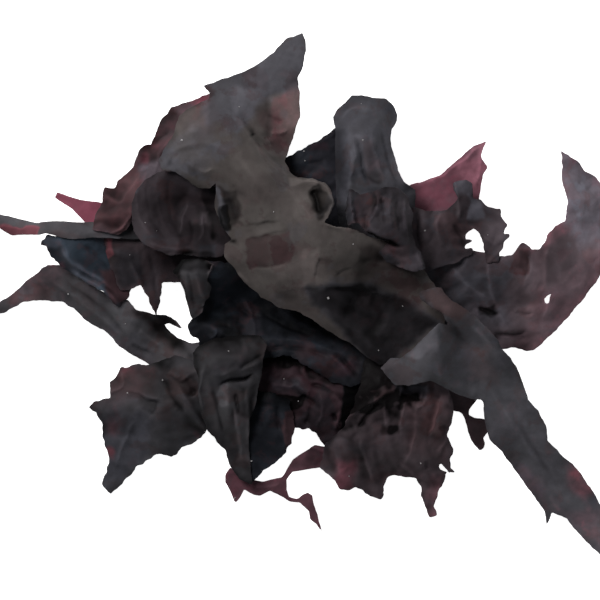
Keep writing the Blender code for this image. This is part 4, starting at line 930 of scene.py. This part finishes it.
        (-0.5, 1.8, -32, 45, -26, 42.6, -23.4, 36, -22.6, 29.6, -27.6, 29.2, -30, 36),
        (0.3, 1.2, -33.4, 44, -31.4, 44, -30.2, 37, -32, 37),
        (-0.6, 1.2, -32.4, 37, -29.4, 37, -27, 27.6, -30.4, 27.6),
        (-0.6, 1.2, 2.6, 43.6, 7, 45, 11, 43, 12, 38, 9.6, 33, 7.6, 32, 5, 36),
        (0.5, 1, -4, 48, 6, 48.4, 6, 46.4, -4, 45), (-0.4, 2.5, -45, 54, -41, 49)],
     "roseSpots": [(0.2, 3, -38, 79), (0.2, 1.8, -8.8, 71.6)],
     "shadeSpots": [
        (-0.5, 1.6, -52, 54.8), (-0.9, 1.1, -19.4, 66), (-0.5, 1, -20, 68), (-0.5, 1.3, -11.6, 62),
        (0.3, 1.4, -6, 72.8), (0.35, 1.6, 2.4, 6), (0.35, 1.6, 8, 6), (-0.6, 1.2, -27.2, 24)],
     "shadeStreaks": [
        (-0.25, 0.8, -22, 71, -18, 66, -12, 60), (-0.6, 0.8, -13, 73.6, -9, 71.6, -6.4, 70),
        (0.5, 0.6, 12.6, 29.4, 16, 28.6, 20.6, 27.8), (0.6, 0.6, -24.8, 11.2, -22.4, 8.8, -20.8, 6.8)],
     "crumples": [(8, 40, 8, 0.4), (34, 16, 10, 0.5)],
     "folds": [
        (-1.6, 5, 0.5, -25.6, 73.6, -22, 71.2, -20, 67.6, -18.4, 64.8, -15.2, 60.8, -11.6, 56.8, -7.6,
         52.8, -4, 50.4, -0.8, 48.4), (1.3, 0.6, 0.8, -0.8, 47.2, 4.8, 47.4, 8.8, 46, 11.2, 44, 12.4, 41),
        (1.3, 0.5, 0.6, 12.6, 42, 13, 38, 11.6, 34.4, 9.4, 31),
        (-3.2, 2.6, 1.4, 5.2, 43.4, 6.4, 40, 7, 36.4, 8, 33.6),
        (0.5, 0.8, 0.8, -33.6, 44, -32.8, 38, -31.2, 32.8, -29.6, 28),
        (-1.3, 2.4, 2.4, -28.8, 41, -26.4, 35.2, -25.4, 31.2),
        (-0.8, 0.5, 2.4, -22.4, 29.2, -16, 30, -8, 31), (-0.8, 0.8, 2, -27.2, 46, -24, 42, -20, 40),
        (-0.9, 4, 0.5, 8, 17.2, 7.2, 12.8, 6, 8.4), (-2, 0.8, 8, 0, 4, 6, 4.6, 12, 5, 20, 5, 28, 3),
        (-1, 6, 6, 16, -2, 26, -6, 34, -10), (-0.5, 0.5, 1.2, 14.4, 10, 18.4, 11.6, 20.8, 12.4),
        (0.9, 0.6, 0.8, 9.2, 30.2, 14, 28.8, 19.2, 28.2, 21.2, 27.4),
        (-0.5, 0.5, 1.6, -21.2, 24, -12, 25.4, -4, 27.6),
        (-0.5, 1.6, 0.5, -21, 12.8, -10, 13, -3.6, 15.2),
        (0.6, 2.4, 1.6, -52, 58, -44, 62, -34, 62, -26, 56), (-0.5, 2, 1.4, -48, 66, -42, 70, -34, 78),
        (0.6, 0.7, 1.4, -44, 54, -38, 50, -34, 52), (-0.6, 0.8, 0.8, -13, 73.6, -9, 71.6, -6.4, 70),
        (0.6, 0.7, 0.9, -12, 67, -8, 66, -5, 68), (0.5, 0.8, 1.6, -4, 44, 0, 38, 6, 31)]},
    {"node": "crumple_knot", "finish": "blackBrown", "seed": 34, "wrinkle": 0.7, "crush": 0.45,
     "grain": 70, "ragged": 0.8, "curl": 12, "settled": 1, "cool": 0.45, "shade": -0.2,
     "brownAreas": [(0.4, 2, 22, 42, 29, 42, 28, 28, 22, 30), (0.5, 2, 32, 23, 38, 17)],
     "shadeAreas": [
        (0.5, 3, 38, 46, 50, 45, 50, 30, 40, 30), (0.25, 1.5, 20, 46, 40, 46, 40, 42.6, 20, 42),
        (0.25, 4, 18, 42, 28, 42, 30, 28, 20, 28), (0.35, 4, 32, 24, 48, 24, 50, 12, 34, 12),
        (0.3, 2, 22, 42, 29, 42, 28, 28, 22, 30), (0.35, 1.5, 33, 42, 35.6, 34),
        (0.2, 1.5, 36.4, 40, 43, 38, 43, 34, 36.4, 34), (-0.4, 1.2, 29, 42, 31, 42, 30.4, 33, 28.6, 33),
        (0.5, 2, 34, 18, 48, 18, 48, 12, 40, 12), (-0.6, 1.8, 12, 40, 18, 39, 18.4, 30, 12, 30),
        (-0.75, 1.2, 26, 27, 34, 24, 40, 22.4, 40, 20, 30, 22)],
     "shadeSpots": [
        (1.2, 0.9, 32.2, 41), (0.9, 0.9, 31.2, 35.6), (0.4, 2, 30.4, 34), (0.6, 1.5, 44.8, 12.4)],
     "folds": [
        (1.6, 0.6, 0.8, 19.8, 44, 20.2, 38, 21, 32.8, 22, 28, 25, 25.6),
        (-1.4, 0.5, 1.6, 26.4, 34, 26.4, 30, 26.4, 27.2),
        (-2.2, 0.8, 0.6, 26.4, 26.8, 28.8, 24.8, 32, 24, 35.2, 22.8, 38, 21.2, 40.4, 21.2),
        (1.4, 0.7, 0.7, 31, 43, 31, 38, 29, 33, 27, 30), (-1.2, 0.6, 0.7, 33, 41, 32.4, 36, 33, 30),
        (1.3, 0.7, 0.7, 36, 42, 35.6, 34, 37, 28), (-1.2, 0.6, 0.7, 38.4, 40, 38, 34, 39.4, 27),
        (1.2, 0.8, 0.8, 41.6, 40, 41, 32, 43, 24), (1.2, 0.7, 1, 44.8, 22.8, 47, 18, 48.8, 12.8),
        (-1, 0.7, 0.7, 36, 12.6, 38, 13.4, 40, 14.6), (0.9, 0.7, 0.7, 33, 20, 37, 17, 42, 15.4)]},
    {"node": "long_ribbon", "finish": "slate", "seed": 35, "wrinkle": 0.4, "grain": -52, "ragged": 0.5,
     "curl": 20, "roseRim": 0.05, "cool": 0.3, "shade": 0.32,
     "roseAreas": [
        (0.3, 5, 106, -66, 112, -70, 116, -82, 108, -76), (0.2, 6, 88, -66, 96, -70, 100, -84, 90, -76),
        (0.2, 8, 104, -84, 120, -84, 126, -104, 112, -92)],
     "brownAreas": [
        (0.1, 3, 38, -24, 53, -10, 52, -30, 40, -34), (0.8, 4, 46, 4, 56, 6, 66, -4, 62, -10, 54, -4),
        (0.4, 5, 64, -18, 76, -18, 80, -34, 68, -32)],
     "shadeAreas": [
        (-0.45, 3, 38, 6, 50, 6, 53, -1, 46, -4, 38, -2),
        (0.08, 2.5, 40, -24, 48, -16, 53.6, -9, 54, -20, 50, -34, 42, -34),
        # painted highlight on the facet that faces the key lamp
        (0.85, 2.5, 42, -22, 48, -16, 53.6, -9, 54, -18, 46, -24),
        (0.25, 5, 60, -16, 76, -18, 76, -30, 62, -30), (1, 8, 102, -76, 124, -82, 126, -106, 108, -94),
        (0.3, 8, 64, -16, 80, -20, 92, -44, 80, -58, 72, -34),
        (0.3, 8, 84, -46, 98, -50, 108, -70, 96, -80)],
     "roseSpots": [(0.5, 3, 111, -69), (0.4, 3, 115, -75)],
     "shadeStreaks": [(-0.5, 1.6, 56, -9, 62, -13, 68, -19), (0.3, 0.8, 68, -10, 72, -14, 76, -18)],
     "folds": [
        (-0.8, 0.8, 3, 48, 0, 52.4, -3.6, 56, -5.6, 59.2, -8, 64, -14),
        (1.2, 3, 0.8, 54.4, -8.8, 52.8, -11.2, 48, -16, 44, -20, 40, -23.2),
        (1, 0.9, 4, 54.4, -8.8, 54.8, -20, 56, -32), (-0.8, 0.6, 3, 60, -36.8, 64.8, -38.8, 70.4, -39.6),
        (0.8, 0.8, 2, 68, -10, 76, -18, 82, -28), (0.7, 1.2, 2, 72, -30, 84, -48, 96, -66),
        (-0.6, 1.2, 1.2, 84, -44, 94, -60, 106, -80), (0.8, 1, 1, 96, -72, 104, -84, 116, -96)]},
]
for spec in fronds:
    frond(spec)


# Salt dried onto the leaf

salt = {
    "seen": [(11.2, 0.8, 0.8), (-46.8, 63.2, 0.7), (49.6, 27.6, 0.5), (-28.4, -20.4, 0.5),
             (31.2, -20.0, 0.3), (40.8, -2.4, 0.3), (-10.4, 34.8, 0.4)],  # place and size in mm
    "sprinkled": 26, "spread": (0.1, 0.08), "size": (0.3 * mm, 0.6 * mm),
    "raised": 0.3,  # of a grain's size, from the leaf to its middle
    "least": (0.7, 0.7, 0.6), "most": (1.2, 1.1, 0.9), "tilt": 0.4,
    "clouds": 1800, "dull": (0.21, 0.20, 0.20), "bright": (0.29, 0.28, 0.28),
    "rough": (0.32, 0.48),
    "seed": 7,
}


def saltPlaces():
    chance = np.random.default_rng(salt["seed"])
    places = [(x * mm, y * mm, size * mm) for x, y, size in salt["seen"]]
    while len(places) < len(salt["seen"]) + salt["sprinkled"]:
        x, y = (chance.uniform(-half, half) for half in salt["spread"])
        places.append((x, y, chance.uniform(*salt["size"])))
    lying = []
    for x, y, size in places:
        top = laid[np.searchsorted(acrossY, y), np.searchsorted(acrossX, x)]
        if top > 0:
            lying.append((x, y, top + salt["raised"] * size, size))
    return np.array(lying)


def saltTree():
    group = bpy.data.node_groups.new("saltGrains", "GeometryNodeTree")
    given = {"Geometry": "Geometry", "Seed": "Int", "Material": "Material"}
    for name, kind in given.items():
        group.interface.new_socket(name, in_out="INPUT", socket_type="NodeSocket" + kind)
    group.interface.new_socket("Geometry", in_out="OUTPUT", socket_type="NodeSocketGeometry")
    tree = Tree(group)
    points, seed, material = (tree.node("NodeGroupInput", {}, {}, name) for name in given)
    size = tree.node("GeometryNodeInputNamedAttribute", {"data_type": "FLOAT"}, {"Name": "size"})
    uneven = tree.node("FunctionNodeRandomValue", {"data_type": "FLOAT_VECTOR"},
                       {0: salt["least"], 1: salt["most"], "Seed": seed})
    turn = tree.node("FunctionNodeRandomValue", {"data_type": "FLOAT_VECTOR"},
                     {0: (-salt["tilt"], -salt["tilt"], 0.0),
                      1: (salt["tilt"], salt["tilt"], 6.2), "Seed": seed + 1})
    scale = tree.node("ShaderNodeVectorMath", {"operation": "SCALE"}, {0: uneven, 3: size})
    grain = tree.node("GeometryNodeMeshCube", {}, {"Size": (1, 1, 1)})
    grains = tree.node("GeometryNodeInstanceOnPoints", {},
                       {"Points": points, "Instance": grain, "Rotation": turn, "Scale": scale})
    real = tree.node("GeometryNodeRealizeInstances", {}, {"Geometry": grains})
    white = tree.node("GeometryNodeSetMaterial", {}, {"Geometry": real, "Material": material})
    tree.node("NodeGroupOutput", {}, {"Geometry": white})
    return group


def saltGrains():
    crystal = Shader("salt")
    cloudy = crystal.range(crystal.noise(salt["clouds"], 3), 0.35, 0.65)
    crystal.surface({"Base Color": crystal.mix(cloudy, salt["dull"], salt["bright"]),
                     "Roughness": crystal.range(cloudy, 0, 1, *salt["rough"])})
    lying = saltPlaces()
    mesh = bpy.data.meshes.new("salt")
    mesh.from_pydata(lying[:, :3].tolist(), [], [])
    layer = mesh.attributes.new("size", "FLOAT", "POINT")
    layer.data.foreach_set("value", lying[:, 3].astype(np.float32))
    ob = bpy.data.objects.new("salt", mesh)
    bpy.context.scene.collection.objects.link(ob)
    grains = ob.modifiers.new("grains", "NODES")
    grains.node_group = saltTree()
    settings = {"Seed": salt["seed"], "Material": crystal.material}
    for socket in grains.node_group.interface.items_tree:
        if socket.name in settings:
            grains[socket.identifier] = settings[socket.name]
    settle(ob, grains)
    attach(ob, "root")
    print("salt", len(lying), "grains", len(ob.data.polygons), "faces")


saltGrains()


# Floor, light and camera, straight above as the photo was taken

studio = {
    "pixel": 0.4 * mm, "photoWidth": 600, "cameraHeight": 2.6, "focus": 12 * mm,
    "lamps": {"key": ((-0.5, 0.55, 0.95), 0.5, 16, (1.0, 0.98, 0.98)),  # place, size, power
              "fill": ((0.7, -0.2, 1.1), 0.9, 1.6, (0.96, 0.97, 1.0))},  # and colour
    "floor": 8, "floorLevel": -0.3 * mm, "floorGlow": 0.95,
    "sky": ((0.86, 0.94, 1, 1), 0.14),  # colour and strength
}


def areaLight(name, place, size, power, colour):
    lamp = bpy.data.lights.new(name, "AREA")
    lamp.size, lamp.energy, lamp.color = size, power, colour
    ob = bpy.data.objects.new(name, lamp)
    ob.location = place
    ob.rotation_euler = (-ob.location).to_track_quat("-Z", "Y").to_euler()
    bpy.context.scene.collection.objects.link(ob)


def paleFloor():
    bpy.ops.mesh.primitive_plane_add(size=studio["floor"], location=(0, 0, studio["floorLevel"]))
    floor = bpy.context.object
    floor.name = "floor"
    pale = Shader("paleFloor")
    floor.data.materials.append(pale.surface({
        "Base Color": (0.9, 0.9, 0.9, 1), "Roughness": 0.9,
        "Emission Color": (1, 1, 1, 1), "Emission Strength": studio["floorGlow"]}))


def camera():
    lens = bpy.data.cameras.new("camera")
    ob = bpy.data.objects.new("camera", lens)
    ob.location = (0, 0, studio["cameraHeight"])
    span = studio["pixel"] * studio["photoWidth"]
    lens.lens = lens.sensor_width * (studio["cameraHeight"] - studio["focus"]) / span
    lens.clip_start, lens.clip_end = 0.05, 20
    bpy.context.scene.collection.objects.link(ob)
    bpy.context.scene.camera = ob


def sky():
    world = bpy.data.worlds.new("world")
    world.use_nodes = True
    background = world.node_tree.nodes["Background"].inputs
    for name, value in zip(("Color", "Strength"), studio["sky"]):
        background[name].default_value = value
    bpy.context.scene.world = world


paleFloor()
for name, lamp in studio["lamps"].items():
    areaLight(name, *lamp)
camera()
sky()
bpy.context.scene.view_settings.view_transform = "Standard"
